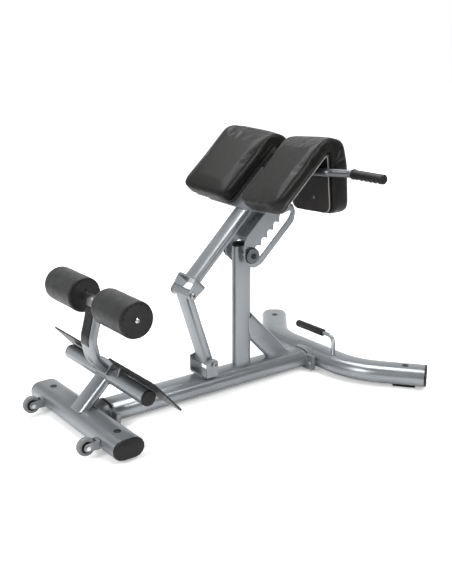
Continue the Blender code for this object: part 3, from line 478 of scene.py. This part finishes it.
def fastener(name, place, axis, radius, high, body, look="zinc", kind="hex"):
    """A screw head or nut; sizes in metres."""
    stations = hex_stations(radius, high) if kind == "hex" else socket_stations(radius, high)
    return piece(name, skin(spun(stations, place, axis)), look, body, 30)


def obround(across, along, steps=10):
    """The flat-sided oval of the tubes, as (a, b) offsets in millimetres."""
    radius = min(across, along) / 2
    a, b = (across / 2 - radius, 0.0) if across > along else (0.0, along / 2 - radius)
    points = []
    for quarter, (sa, sb) in enumerate(((1, 1), (-1, 1), (-1, -1), (1, -1))):
        for k in range(steps + 1):
            turn = math.pi / 2 * (quarter + k / steps)
            points.append((sa * a + radius * math.cos(turn), sb * b + radius * math.sin(turn)))
    return points


def resampled(points, step, closed):
    """The same polyline with evenly spaced points."""
    line = [Vector(p) for p in points] + ([Vector(points[0])] if closed else [])
    lengths = [(b - a).length for a, b in zip(line, line[1:])]
    total = sum(lengths)
    count = max(int(total / step), 4)
    found, i, passed = [], 0, 0.0
    for k in range(count if closed else count + 1):
        target = min(total * k / count, total - 1e-9)
        while passed + lengths[i] < target:
            passed += lengths[i]
            i += 1
        share = (target - passed) / max(lengths[i], 1e-9)
        found.append(line[i].lerp(line[i + 1], share))
    return found


def bead(points, radius, closed, ripple=0.0, ripple_every=0.0032, step=0.0010, steps=8):
    """A thin tube along a line of points; ripple is the share its radius swings by, as in a weld."""
    line = resampled(points, step, closed)
    middle = sum(line, Vector()) / len(line)
    rings = []
    for i, here in enumerate(line):
        before = line[i - 1] if i or closed else here
        after = line[(i + 1) % len(line)] if i < len(line) - 1 or closed else here
        ahead = (after - before).normalized()
        out = here - middle
        out = (out - ahead * out.dot(ahead)).normalized() if out.length > 1e-6 else ahead.orthogonal()
        side = ahead.cross(out)
        swing = 1 + ripple * math.sin(2 * math.pi * i * step / ripple_every)
        swing += 0.5 * ripple * noise.noise(here * 300)
        ring = []
        for turn in angles(steps):
            ring.append(here + (out * math.cos(turn) + side * math.sin(turn)) * radius * swing)
        rings.append(ring)
    return skin(rings, closed)


def weld(name, points, body="base", radius=0.0024, closed=True):
    """A rippled bead along points in millimetres."""
    data = bead([at(*point) for point in points], radius, closed, ripple=0.16)
    return piece(name, data, "weld", body, 80)


def tube_ring(start, direction, sideways, size, land):
    """Where a flat-sided tube meets another surface: its outline, with each point slid along by `land`."""
    direction = Vector(direction).normalized()
    sideways = Vector(sideways)
    other = direction.cross(sideways).normalized()
    return [land(Vector(start) + sideways * a + other * b, direction) for a, b in obround(*size)]


def on_plane(point, normal):
    """Slides a point p along d onto a plane."""
    point, normal = Vector(point), Vector(normal)
    return lambda p, d: p + d * ((point - p).dot(normal) / d.dot(normal))


def on_rod(point, axis, radius):
    """Slides p along d onto the near side of a cylinder; a point that misses it stops level with it."""
    point, axis = Vector(point), Vector(axis)

    def land(p, d):
        off, flat = p - point, d - axis * d.dot(axis)
        off -= axis * off.dot(axis)
        half = off.dot(flat) / flat.length_squared
        rest = half * half - (off.length_squared - radius * radius) / flat.length_squared
        return p + d * (-half - math.sqrt(max(rest, 0.0)))

    return land


def around(centre, radius, turn, y):
    """A place at an angle round an axis that runs across the bench."""
    return at(centre[0] + radius * math.cos(turn), y, centre[1] + radius * math.sin(turn))


# ---- soft pads --------------------------------------------------------------------------------------------
def on_pad(x, y, z, side):
    """A place on a pad at a distance y from the middle, from (x, z) in the outer side's outline."""
    share = (y - PAD_OUT) / (PAD_IN - PAD_OUT)
    return at(x - PAD_SHIFT.x * share, side * y, z - PAD_SHIFT.y * share)


def faces_board(normal):
    return max(normal.dot(FRONT_UNDER), normal.dot(REAR_UNDER)) > 0.9


def applied(obj, kind=None, **settings):
    """Replaces the object's mesh with what its modifiers, and one more of this kind, make of it."""
    if kind:
        modifier = obj.modifiers.new(kind, kind)
        for key, value in settings.items():
            setattr(modifier, key, value)
    graph = bpy.context.evaluated_depsgraph_get()
    mesh = bpy.data.meshes.new_from_object(obj.evaluated_get(graph))
    obj.modifiers.clear()
    obj.data = mesh


def inflate(obj, most, pressure=4.0, frames=20):
    """Swells a closed mesh as pressurised cloth, with the side that lies on the board held still."""
    start = [v.co.copy() for v in obj.data.vertices]
    held = obj.vertex_groups.new(name="held")
    held.add([v.index for v in obj.data.vertices if faces_board(v.normal)], 1.0, "REPLACE")
    cloth = obj.modifiers.new("cloth", "CLOTH")
    cloth.settings.use_pressure = True
    cloth.settings.uniform_pressure_force = pressure
    cloth.settings.effector_weights.gravity = 0.0
    cloth.settings.vertex_group_mass = "held"
    cloth.settings.quality = 5
    cloth.settings.tension_stiffness = 8.0
    cloth.settings.compression_stiffness = 8.0
    cloth.settings.bending_stiffness = 20.0
    cloth.point_cache.frame_start, cloth.point_cache.frame_end = 1, frames
    scene = bpy.context.scene
    for number in range(1, frames + 1):
        scene.frame_set(number)
    applied(obj)
    scene.frame_set(1)
    for v, rest in zip(obj.data.vertices, start):
        move = v.co - rest
        if move.length > most:
            v.co = rest + move.normalized() * most


# Folds at the bend: start and end from the pad's inner corner in millimetres, depth and width in metres.
FOLDS = (
    ((2, -8), (1, 66), 0.0050, 0.0045),
    ((6, -8), (40, 48), 0.0040, 0.0050),
    ((5, -14), (66, 4), 0.0022, 0.0060),
    ((-4, -10), (-46, 24), 0.0018, 0.0070),
)
FOLD_BAND = 26  # how far in from the outer side a fold reaches


def crease(obj, side, start, end, depth, width):
    """Presses a fold with raised lips into the pad's outer side, fading out towards its end."""
    a, b = (at(point.x, 0, point.y) for point in (start, end))
    along = b - a
    for v in obj.data.vertices:
        if v.co.y * side < (PAD_OUT - FOLD_BAND) / 1000:
            continue
        flat = Vector((v.co.x, 0, v.co.z))
        share = (flat - a).dot(along) / along.length_squared
        if -0.1 < share < 1.05:
            off = (flat - (a + along * share)).length / width
            fade = min(1.0, (1.05 - share) * 2.5) * math.exp(-off * off)
            lip = 0.45 * math.exp(-((off - 1.9) ** 2)) * min(1.0, max(0.0, 1.0 - share))
            v.co.y -= side * depth * (fade - lip)


def pad(word, side):
    """The bent cushion: vinyl pulled over foam, swollen between its edges, with folds at the bend."""
    voxel, gap, board_gap, swell = 0.005, 0.0010, 0.0004, 0.0060
    mesh = frame["nodes"][f"pad_{word}"].data.copy()
    mesh.materials.clear()
    mesh.materials.append(LOOKS["black_vinyl"])
    obj = bpy.data.objects.new(f"cushion_{word}", mesh)
    bpy.context.scene.collection.objects.link(obj)
    applied(obj, "REMESH", mode="VOXEL", voxel_size=voxel, use_smooth_shade=True)
    applied(obj, "SMOOTH", factor=0.5, iterations=6)
    normals = [v.normal.copy() for v in obj.data.vertices]
    for v, normal in zip(obj.data.vertices, normals):
        v.co -= normal * (board_gap if faces_board(normal) else gap)
    inflate(obj, swell)
    applied(obj, "SMOOTH", factor=0.5, iterations=4)
    applied(obj, "SUBSURF", levels=1, render_levels=1)
    for start, end, depth, width in FOLDS:
        crease(obj, side, PAD_CORNER + Vector(start), PAD_CORNER + Vector(end), depth, width)
    obj.data.shade_smooth()
    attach(obj, "carriage")
    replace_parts(obj, f"pad_{word}")
    seams(obj, word, side)


# The pad's outline from the front leaf's underside over the bend to the rear leaf's lower end.
SEAM_LINE = (
    (522, 640), (520, 664), (560, 700), (640, 775), (718, 846),
    (770, 850), (806, 828), (826, 752), (838, 640), (832, 606),
)


def surface_of(mesh):
    return BVHTree.FromPolygons([v.co for v in mesh.vertices], [p.vertices for p in mesh.polygons])


def seams(cushion, word, side):
    """The sewn edge between the face panel and each side panel, snapped to the swollen surface."""
    surface = surface_of(cushion.data)
    for place, y in (("outer", PAD_OUT - 5), ("inner", PAD_IN + 5)):
        snapped = []
        for point in resampled([on_pad(x, y, z, side) for x, z in SEAM_LINE], 0.006, False):
            nearest, normal, *_ = surface.find_nearest(point)
            snapped.append(nearest + normal * 0.0001)
        for _ in range(4):
            middle = [(a + b * 2 + c) / 4 for a, b, c in zip(snapped, snapped[1:], snapped[2:])]
            snapped = [snapped[0], *middle, snapped[-1]]
        data = bead(snapped, 0.0011, False, ripple=0.10, ripple_every=0.004)
        piece(f"seam_{place}_{word}", data, "black_vinyl", "carriage", 80)


# ---- boards -----------------------------------------------------------------------------------------------
def crossing(a, b, c, d):
    """Where line ab meets line cd."""
    r, s = b - a, d - c
    return a + r * ((c - a).cross(s) / r.cross(s))


def board_line(depth):
    """The board's outline at a depth below the pad's outer face, as evenly spaced (x, z) points."""
    set_back, bend, foot_z, points = 7.0, 14, 606.0, 64
    slope = Vector((math.cos(PAD_SLOPE), math.sin(PAD_SLOPE)))
    normal = Vector((-slope.y, slope.x))
    down = (REAR_INNER[1] - REAR_INNER[0]).normalized()
    out = Vector((-down.y, down.x))
    front = PAD_LOW - normal * depth
    rear = REAR_INNER[0] + out * (PAD_THICK + BOARD_THICK + 0.3 - depth)
    knee = crossing(front, front + slope, rear, rear + down)
    foot = rear + down * ((rear.y - foot_z) / -down.y)
    curve = [knee - slope * bend * (1 - t) ** 2 + down * bend * t**2 for t in (0.25, 0.5, 0.75)]
    line = [front + slope * set_back, knee - slope * bend, *curve, knee + down * bend, foot]
    flat = resampled([Vector((p.x, p.y, 0)) for p in line], 1.0, False)
    return [flat[round(k * (len(flat) - 1) / points)] for k in range(points + 1)]


def board(word, side):
    """The bent plywood board under a pad, with rounded corners and a pale cut edge."""
    corner, pad_gap, thick = 26.0, 0.6, 9.6
    upper = board_line(PAD_THICK + pad_gap)
    under = board_line(PAD_THICK + pad_gap + thick)
    total = sum((b - a).length for a, b in zip(under, under[1:]))
    near, far = PAD_IN + 3, PAD_OUT - 15
    rings, edge, passed = [], [], 0.0
    for i, (high, low) in enumerate(zip(upper, under)):
        passed += (low - under[i - 1]).length if i else 0.0
        depth = min(passed, total - passed, corner)
        pull = corner - math.sqrt(corner**2 - (corner - depth) ** 2)
        corners = ((high, near + pull), (high, far - pull), (low, far - pull), (low, near + pull))
        ring = [on_pad(point.x, y, point.y, side) for point, y in corners]
        rings.append(ring)
        edge.append(ring[2].lerp(ring[1], 0.22) + Vector((0, side * 0.0004, 0)))
    obj = piece(f"bent_board_{word}", skin(rings), "pad_board", "carriage", 30)
    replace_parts(obj, f"pad_board_{word}")
    past_corner = 5
    data = bead(edge[past_corner:], 0.0014, False, step=0.003)
    piece(f"board_edge_{word}", data, "board_edge", "carriage", 80)
    for number, y in enumerate((160, 70)):
        place, name = on_pad(752.6, y, 652, side), f"board_screw_{number}_{word}"
        fastener(name, place, (-1, 0, -0.1), 0.0046, 0.0024, "carriage", "copper", "socket")


# ---- ankle rollers ----------------------------------------------------------------------------------------
def roller(word, side):
    """The foam sleeve, with rounded shoulders and shallow dents, and its two end caps."""
    body = f"roller_{word}"
    near, far = ROLLER_IN + ROLLER_CAP, ROLLER_OUT - ROLLER_CAP
    bore, shoulder, segments, skin_gap, dent = 14.6, 5.0, 40, 0.5, 0.45
    flat, straight = ROLLER_RADIUS - shoulder, far - near - 2 * shoulder
    quarter = [math.pi / 2 * k / 6 for k in range(7)]
    profile = [(bore, near + 0.4)]
    profile += [(flat + shoulder * math.sin(t), near + shoulder - shoulder * math.cos(t)) for t in quarter]
    profile += [(ROLLER_RADIUS, near + shoulder + straight * k / segments) for k in range(1, segments)]
    profile += [(flat + shoulder * math.cos(t), far - shoulder + shoulder * math.sin(t)) for t in quarter]
    profile.append((bore, far - 0.4))
    rings = []
    for radius, y in profile:
        ring = []
        for turn in angles(96):
            where = Vector((math.cos(turn) * 2.2, y * 0.03 + side * 7, math.sin(turn) * 2.2))
            swell = dent * noise.noise(where) if radius > bore else 0.0
            ring.append(around(ROLLER, radius - skin_gap + swell, turn, side * y))
        rings.append(ring)
    obj = piece(f"foam_{word}", skin(rings, closed=True), "roller_foam", body, 60)
    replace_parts(obj, f"roller_{word}")
    for place, face, outward, hole in (("outer", far, side, 4.8), ("inner", near, -side, 14.4)):
        cap = end_cap(f"roller_end_{place}_{word}", side * face, outward, body, hole)
        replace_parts(cap, f"roller_cap_{place}_{word}")


def end_cap(name, face, outward, body, hole):
    """A moulded end cap with twenty notches round its rim and a dished middle."""
    notches, open_share, deep = 20, 0.42, 1.7
    stations = [  # radius, distance from the foam, and how far a notch cuts in
        (hole, 0.3, 0), (50.5, 0.3, 0), (52.2, 0.9, 0), (52.0, 1.9, 0), (50.6, 2.6, 0),
        (49.4, 2.8, 0), (49.2, 2.8, deep), (44.6, 2.8, deep), (44.4, 2.8, 0), (43.0, 2.8, 0),
        (36.0, 2.3, 0), (20.0, 1.8, 0), (hole + 3.4, 1.7, 0), (hole + 3.0, 1.2, 0), (hole, 1.2, 0),
    ]
    rings = []
    for radius, far, cut in stations:
        ring = []
        for turn in angles(160):
            in_notch = (turn * notches / (2 * math.pi)) % 1.0 < open_share
            y = face + outward * (far - (cut if in_notch else 0.0))
            ring.append(around(ROLLER, radius, turn, y))
        rings.append(ring)
    return piece(name, skin(rings, closed=True), "cap_black", body, 30)


# ---- hand grips and wheels --------------------------------------------------------------------------------
def grip_radius(far, length, turn):
    """The grip's radius at a distance from its inner end: a flange, six finger waves below, a rounded tip."""
    flange, plain, waves, tip = 16.2, 14.2, 6, 4
    down = max(0.0, -math.sin(turn)) ** 0.8
    share = (far - 9) / (length - 13)
    size = plain
    if 0 <= share <= 1:
        size -= down * 2.8 * (0.5 - 0.5 * math.cos(2 * math.pi * waves * share + math.pi))
        size += down * 1.6
    if far < 4:
        size = flange
    elif far < 7:
        size = plain + (flange - plain) * max(0, 1 - (far - 4) / 1.5)
    if length - far < tip:
        size = max(size, 15.0) - 0.32 * (tip - (length - far)) ** 1.6
    return size


def hand_grip(word, side):
    """The moulded rubber sleeve at the end of the handle."""
    length, steps, count = GRIP_END - GRIP_START, 40, 110
    bore, rim, start, end_flat = 12.8, 15.8, 0.4, 9.0
    rows = [(0.0, [bore] * steps), (0.0, [rim] * steps)]
    for i in range(count + 1):
        far = start + (length - start) * i / count
        rows.append((far, [grip_radius(far, length, turn) for turn in angles(steps)]))
    rows.append((length, [end_flat] * steps))
    rings = []
    for far, sizes in rows:
        y = side * (GRIP_START + far)
        rings.append([around(GRIP, size, turn, y) for size, turn in zip(sizes, angles(steps))])
    obj = piece(f"finger_grip_{word}", skin(rings), "grip_rubber", "carriage", 45)
    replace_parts(obj, f"handle_grip_{word}")


# Half profiles as (radius, distance from the wheel's middle plane).
TYRE = ((27.4, 3.0), (27.0, 6.2), (25.6, 8.6), (22.5, 9.8), (18.6, 9.6), (17.5, 8.6))
HUB = ((17.4, 8.2), (14.8, 8.0), (14.2, 5.6), (8.4, 6.2), (8.0, 8.0), (4.4, 8.0))


def wheel(word, side):
    """A grey tyre on a dark hub with a raised ring; the chrome axle is one of the solids."""
    body, middle = f"wheel_{word}", at(WHEEL[0], side * WHEEL_Y, WHEEL[1])
    looks = (("tyre", TYRE, "grey_tyre", "grey_tyre"), ("hub", HUB, "cap_black", "black_plastic"))
    for name, half, look, slot in looks:
        profile = [(radius, -far) for radius, far in reversed(half)] + list(half)
        stations = [(radius / 1000, far / 1000) for radius, far in profile]
        data = skin(spun(stations, middle, (0, 1, 0), 64), closed=True)
        obj = piece(f"{name}_{word}", data, look, body, 35)
    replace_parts(obj, f"wheel_{word}")


# ---- pins, bolts and plugs --------------------------------------------------------------------------------
def pivot(name, centre, node, body):
    """A pivot bolt: a socket head on one side and a nut on the other."""
    reach, shank, radius = 0.0504, 0.0058, 0.0100
    stations = [(size, -reach - far) for size, far in reversed(socket_stations(radius, 0.0080))]
    stations += [(shank, -reach), (shank, reach)]
    stations += [(size, reach + far) for size, far in hex_stations(radius, 0.0085)]
    data = skin(spun(stations, at(centre[0], 0, centre[1]), (0, 1, 0)))
    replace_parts(piece(name, data, "zinc", body, 30), node)


def pin_end(word, side):
    """A black ring behind the pin's disc and a screw in front of it."""
    out, hole, thick = (0, side, 0), 0.0100, 0.0014
    rim = [(0.0262, 0.0), (0.0266, 0.0004), (0.0266, 0.0010), (0.0262, thick)]
    behind, before = (at(PIN[0], side * (PIN_FACE + off), PIN[1]) for off in (-1.6, 5.8))
    data = skin(spun([*rim, (hole, thick), (hole, 0.0)], behind, out, 48), closed=True)
    piece(f"pin_ring_{word}", data, "cap_black", "base", 30)
    fastener(f"pin_screw_{word}", before, out, 0.0086, 0.0062, "base", "black_oxide", "socket")


def ankle_screws(word, side):
    """The gusset's screw and the one that keeps the roller on its axle."""
    out = (0, side, 0)
    gusset, end = at(104, side * 40.4, 168), at(ROLLER[0], side * (ROLLER_OUT + 3.2), ROLLER[1])
    fastener(f"gusset_screw_{word}", gusset, out, 0.0070, 0.0046, "base", "black_oxide", "socket")
    fastener(f"axle_screw_{word}", end, out, 0.0046, 0.0024, "base", "zinc", "socket")


def hole_plugs(word, side):
    """A domed black plug in each anchor hole."""
    stem = [(0.0094, -0.006), (0.0094, 0.0)]
    rim = [(0.0112, 0.0), (0.0113, 0.0006), (0.0108, 0.0011), (0.0090, 0.0013)]
    dish = [(0.0078, 0.0009), (0.0030, 0.0008)]
    for place, x, y in (("front", 0.0, 203.0), ("rear", 1029.1, 343.5)):
        data = skin(spun(stem + rim + dish, at(x, side * y, BASE_TOP), (0, 0, 1), 40))
        piece(f"hole_plug_{place}_{word}", data, "cap_black", "base", 30)


def flange_bolts(word, side):
    """A bolt head and a nut on the outer faces of each pair of flanges."""
    y, z, radius = side * 66.0, 31, 0.0075
    for place, head_x, nut_x, along in (("front", 80.7, 67.2, 1), ("rear", 849.9, 863.4, -1)):
        head, nut = at(head_x, y, z), at(nut_x, y, z)
        fastener(f"{place}_flange_bolt_{word}", head, (along, 0, 0), radius, 0.0058, "base")
        fastener(f"{place}_flange_nut_{word}", nut, (-along, 0, 0), radius, 0.0070, "base")


def sole_screw(name, y):
    """A low screw head on a foot plate's face."""
    far, thick = 53.0, SOLE_THICK
    along, across = math.cos(SOLE_SLOPE), math.sin(SOLE_SLOPE)
    place = at(SOLE_EDGE[0] + far * along - thick * across, y, SOLE_EDGE[1] + far * across + thick * along)
    fastener(name, place, (-across, 0, along), 0.0052, 0.0016, "base", "black_oxide", "socket")


def support_screw(name, y, side, far):
    """A hexagon head under the steel plate that carries the boards."""
    from_edge, steel = 6, 7.5
    slope = Vector((math.cos(PAD_SLOPE), math.sin(PAD_SLOPE)))
    below = Vector((slope.y, -slope.x)) * (PAD_THICK + BOARD_THICK + steel)
    start = PAD_LOW + slope * (from_edge + far) + below
    fastener(name, on_pad(start.x, y, start.y, side), FRONT_UNDER, 0.0065, 0.0045, "carriage")


def fasteners():
    """Every bolt, nut, screw and plug."""
    pivot("elbow_pivot_bolt", ELBOW, "elbow_bolt", "carriage")
    pivot("link_pivot_bolt", LINK_FOOT, "link_bolt", "base")
    for word, side in SIDES:
        pin_end(word, side)
        ankle_screws(word, side)
        hole_plugs(word, side)
        flange_bolts(word, side)
        for number, y in enumerate((78, 200)):
            sole_screw(f"sole_screw_{number}_{word}", side * y)
        for number, far in enumerate((30, 120)):
            support_screw(f"plate_screw_{number}_{word}", 95, side, far)


# ---- welds and film ---------------------------------------------------------------------------------------
UP, ALONG, ACROSS = Vector((0, 0, 1)), Vector((1, 0, 0)), Vector((0, 1, 0))
PROUD, SLIGHTLY_PROUD = 0.4, 0.3  # how far a weld's middle stands off the surface it lies on


def post_welds():
    """Round the feet of the post and its brace, and where the brace meets the post's round face."""
    rail_top = on_plane((0, 0, BASE_TOP + PROUD), UP)
    weld("weld_post_foot", tube_ring((POST_X, 0, 100), -UP, ALONG, SLIM_TUBE, rail_top))
    foot, head = Vector((770, 0, 56)), Vector((612, 0, 221))
    across = (head - foot).normalized().cross(ACROSS)
    weld("weld_brace_foot", tube_ring(head, foot - head, across, SLIM_TUBE, rail_top))
    post_face = on_rod((POST_X + 20, 0, 0), UP, SLIM_TUBE[1] / 2 + 0.2)
    narrower = (SLIM_TUBE[0], 22)
    weld("weld_brace_head", tube_ring(head, foot - head, across, narrower, post_face), radius=0.0018)


def rail_welds():
    """Round the rail at its two flanges, and round each stub at its crossbar and its flange."""
    for place, x, facing in (("front", 80.8, 1), ("rear", 849.8, -1)):
        start = (x + facing * 40, 0, BASE_Z)
        ring = tube_ring(start, -facing * ALONG, ACROSS, BASE_TUBE, on_plane((x, 0, 0), ALONG))
        weld(f"weld_{place}_rail_flange", ring)
    stubs = (("front", 20.0, 60, 67.0, 1), ("rear", REAR_BAR_X - 20.0, 880, 863.6, -1))
    for place, bar_x, start, flange_x, facing in stubs:
        bar = on_rod((bar_x, 0, BASE_Z), ACROSS, BASE_TUBE[1] / 2 + PROUD)
        ring = tube_ring((bar_x + facing * 42, 0, BASE_Z), -facing * ALONG, ACROSS, BASE_TUBE, bar)
        weld(f"weld_{place}_stub", ring)
        flange = on_plane((flange_x, 0, 0), ALONG)
        ring = tube_ring((start, 0, BASE_Z), facing * ALONG, ACROSS, BASE_TUBE, flange)
        weld(f"weld_{place}_stub_flange", ring)


def ankle_welds():
    """Round both ends of the strut, and round the roller post on the foot tube."""
    foot, head = Vector((-19, 0, 61)), Vector((87, 0, 163))
    bar_top = on_plane((0, 0, BASE_TOP + PROUD), UP)
    foot_rod = on_rod((FOOT_TUBE[0], 0, FOOT_TUBE[1]), ACROSS, FOOT_TUBE_RADIUS + SLIGHTLY_PROUD)
    weld("weld_strut_foot", tube_ring(head, foot - head, ACROSS, SLIM_TUBE, bar_top))
    weld("weld_strut_head", tube_ring(foot, head - foot, ACROSS, SLIM_TUBE, foot_rod))
    weld("weld_roller_post", tube_ring((40, 0, 219), (36, 0, -38), ACROSS, SLIM_TUBE, foot_rod))


def beam_welds():
    """Round the beam on the elbow bracket, and where it meets the handle."""
    slope = Vector((math.cos(BEAM_SLOPE), 0, math.sin(BEAM_SLOPE)))
    bracket = on_plane(BEAM_FOOT + slope * SLIGHTLY_PROUD, slope)
    handle = on_rod((HANDLE[0], 0, HANDLE[1]), ACROSS, HANDLE_RADIUS + SLIGHTLY_PROUD)
    foot = tube_ring(BEAM_FOOT + slope * 60, -slope, ACROSS, SLIM_TUBE, bracket)
    weld("weld_beam_foot", foot, "carriage", 0.0021)
    head = tube_ring(BEAM_FOOT + slope * 300, slope, ACROSS, SLIM_TUBE, handle)
    weld("weld_beam_handle", head, "carriage", 0.0020)


def small_welds():
    """Round the lifting handle's foot, and beside the link's bracket."""
    x, y, radius = 903, -127, 7.2
    circle = [(x + radius * math.cos(t), y + radius * math.sin(t), BASE_TOP + PROUD) for t in angles(16)]
    weld("weld_lift_handle", circle, radius=0.0016)
    for place, off in (("front", -28), ("rear", 17)):
        edge = [(LINK_FOOT[0] + off, y, BASE_TOP + 1) for y in (-24, 24)]
        weld(f"weld_bracket_{place}", edge, closed=False)


def rack_welds():
    """Two beads on each side of the spacer between the rack's plates."""
    low, high = Vector((579, 0, 521)), Vector((690, 0, 625.6))
    along = (high - low).normalized()
    above = Vector((-along.z, 0, along.x))
    for word, side in SIDES:
        for place, off in (("low", 1.0), ("high", 22.0)):
            start = low + along * 62 + above * off
            line = [(point.x, side * 22.2, point.z) for point in (start, start + along * 60)]
            weld(f"weld_rack_spacer_{place}_{word}", line, "carriage", 0.0020, closed=False)


def film():
    """A plain black stripe laid over the front of the roller post."""
    surface = surface_of(frame["nodes"]["roller_post"].data)
    half, low, high, rows, columns, corner = 25.0, 266.0, 380.0, 40, 16, 3.0
    data = bmesh.new()
    grid = []
    for i in range(rows + 1):
        z = low + (high - low) * i / rows
        inset = max(0.0, corner - min(z - low, high - z))
        row = []
        for k in range(columns + 1):
            y = (half - inset * 0.4) * (2 * k / columns - 1)
            hit, normal, *_ = surface.ray_cast(at(-120, y, z), ALONG)
            row.append(data.verts.new(hit + normal * 0.0004))
        grid.append(row)
    for a, b in zip(grid, grid[1:]):
        for k in range(columns):
            data.faces.new((a[k], a[k + 1], b[k + 1], b[k]))
    stripe = piece("post_stripe", data, "film", "base", 60)
    shell = stripe.modifiers.new("thickness", "SOLIDIFY")
    shell.thickness, shell.offset = 0.0006, 0.0


# ---- stage, light and camera ------------------------------------------------------------------------------
def floor():
    """A pale floor that glows for the camera alone: a painted light that pales the shadows near the bench and
    brightens into the white background.
    """
    g = Graph("studio_floor")
    tone = g.mix(g.spread(g.noise(1.3, 3.0), 0.0, 1.0), grey(0.90), grey(0.94))
    far = g.add("ShaderNodeVectorMath", {0: g.place}, operation="LENGTH").outputs["Value"]
    seen = g.add("ShaderNodeLightPath").outputs["Is Camera Ray"]
    # painted light: camera rays get an emission of 0.34 near the bench, lightening its shadows, rising to
    # full white far off
    glow = g.math("MULTIPLY", g.spread(far, 0.34, 1.0, 0.8, 2.2), seen)
    rough = g.spread(g.noise(5.0), 0.55, 0.65)
    g.finish(Base_Color=tone, Roughness=rough, Emission_Color=(1, 1, 1, 1), Emission_Strength=glow)
    half, drop = 14.0, 0.0004
    corners = ((-half, -half), (half, -half), (half, half), (-half, half))
    mesh = bpy.data.meshes.new("studio_floor")
    mesh.from_pydata([(x, y, -drop) for x, y in corners], [], [range(4)])
    mesh.materials.append(g.material)
    obj = bpy.data.objects.new("studio_floor", mesh)
    bpy.context.scene.collection.objects.link(obj)


def softbox(name, place, target, size, power):
    lamp = bpy.data.lights.new(name, "AREA")
    lamp.shape, lamp.size, lamp.size_y = "RECTANGLE", size[0], size[1]
    lamp.energy = power
    obj = bpy.data.objects.new(name, lamp)
    bpy.context.scene.collection.objects.link(obj)
    obj.location = place
    obj.rotation_euler = (Vector(target) - Vector(place)).to_track_quat("-Z", "Y").to_euler()


def surroundings():
    """White to the camera; for light and reflections, a bright backdrop low behind a darker room."""
    world = bpy.data.worlds.new("studio")
    bpy.context.scene.world = world
    world.use_nodes = True
    nodes, links = world.node_tree.nodes, world.node_tree.links

    def ramp(socket, start, end, low, high):
        node = nodes.new("ShaderNodeMapRange")
        links.new(socket, node.inputs["Value"])
        for key, value in (("From Min", start), ("From Max", end), ("To Min", low), ("To Max", high)):
            node.inputs[key].default_value = value
        return node.outputs[0]

    direction = nodes.new("ShaderNodeSeparateXYZ")
    links.new(nodes.new("ShaderNodeTexCoord").outputs["Generated"], direction.inputs[0])
    room = nodes.new("ShaderNodeMath")
    room.operation = "MULTIPLY"
    links.new(ramp(direction.outputs["Z"], 0.32, 0.60, 1.0, 0.15), room.inputs[0])
    links.new(ramp(direction.outputs["Y"], -0.6, 0.4, 0.18, 1.0), room.inputs[1])
    strength = nodes.new("ShaderNodeMix")
    links.new(nodes.new("ShaderNodeLightPath").outputs["Is Camera Ray"], strength.inputs["Factor"])
    links.new(room.outputs[0], strength.inputs["A"])
    strength.inputs["B"].default_value = 1.0
    background = nodes["Background"]
    background.inputs["Color"].default_value = (1.0, 1.0, 1.0, 1.0)
    links.new(strength.outputs[0], background.inputs["Strength"])


def lights():
    softbox("key", (0.6, -2.6, 3.0), (0.1, 0.0, 0.3), (1.8, 1.2), 90)
    softbox("top", (0.2, 0.7, 2.9), (0.1, 0.1, 0.3), (3.0, 1.6), 110)
    softbox("left", (-2.9, -0.7, 2.2), (-0.3, 0.0, 0.3), (0.9, 1.6), 60)


def camera():
    """Stands in front of the ankle rollers on the left, a little above the pads."""
    data = bpy.data.cameras.new("camera")
    obj = bpy.data.objects.new("camera", data)
    bpy.context.scene.collection.objects.link(obj)
    obj.location = (BAR_X - 1.08551, -2.18389, 1.15151)
    obj.rotation_euler = [math.radians(angle) for angle in (72.6377, 0.2921, -36.0783)]
    data.sensor_width, data.lens = 36.0, 53.694
    data.shift_x, data.shift_y = 0.0143, 0.0170
    bpy.context.scene.camera = obj


# ---- the whole scene --------------------------------------------------------------------------------------
dress_solids()
for word, side in SIDES:
    pad(word, side)
    board(word, side)
    roller(word, side)
    hand_grip(word, side)
    wheel(word, side)
fasteners()
post_welds()
rail_welds()
ankle_welds()
beam_welds()
small_welds()
rack_welds()
film()
floor()
surroundings()
lights()
camera()
bpy.context.scene.view_settings.view_transform = "Standard"
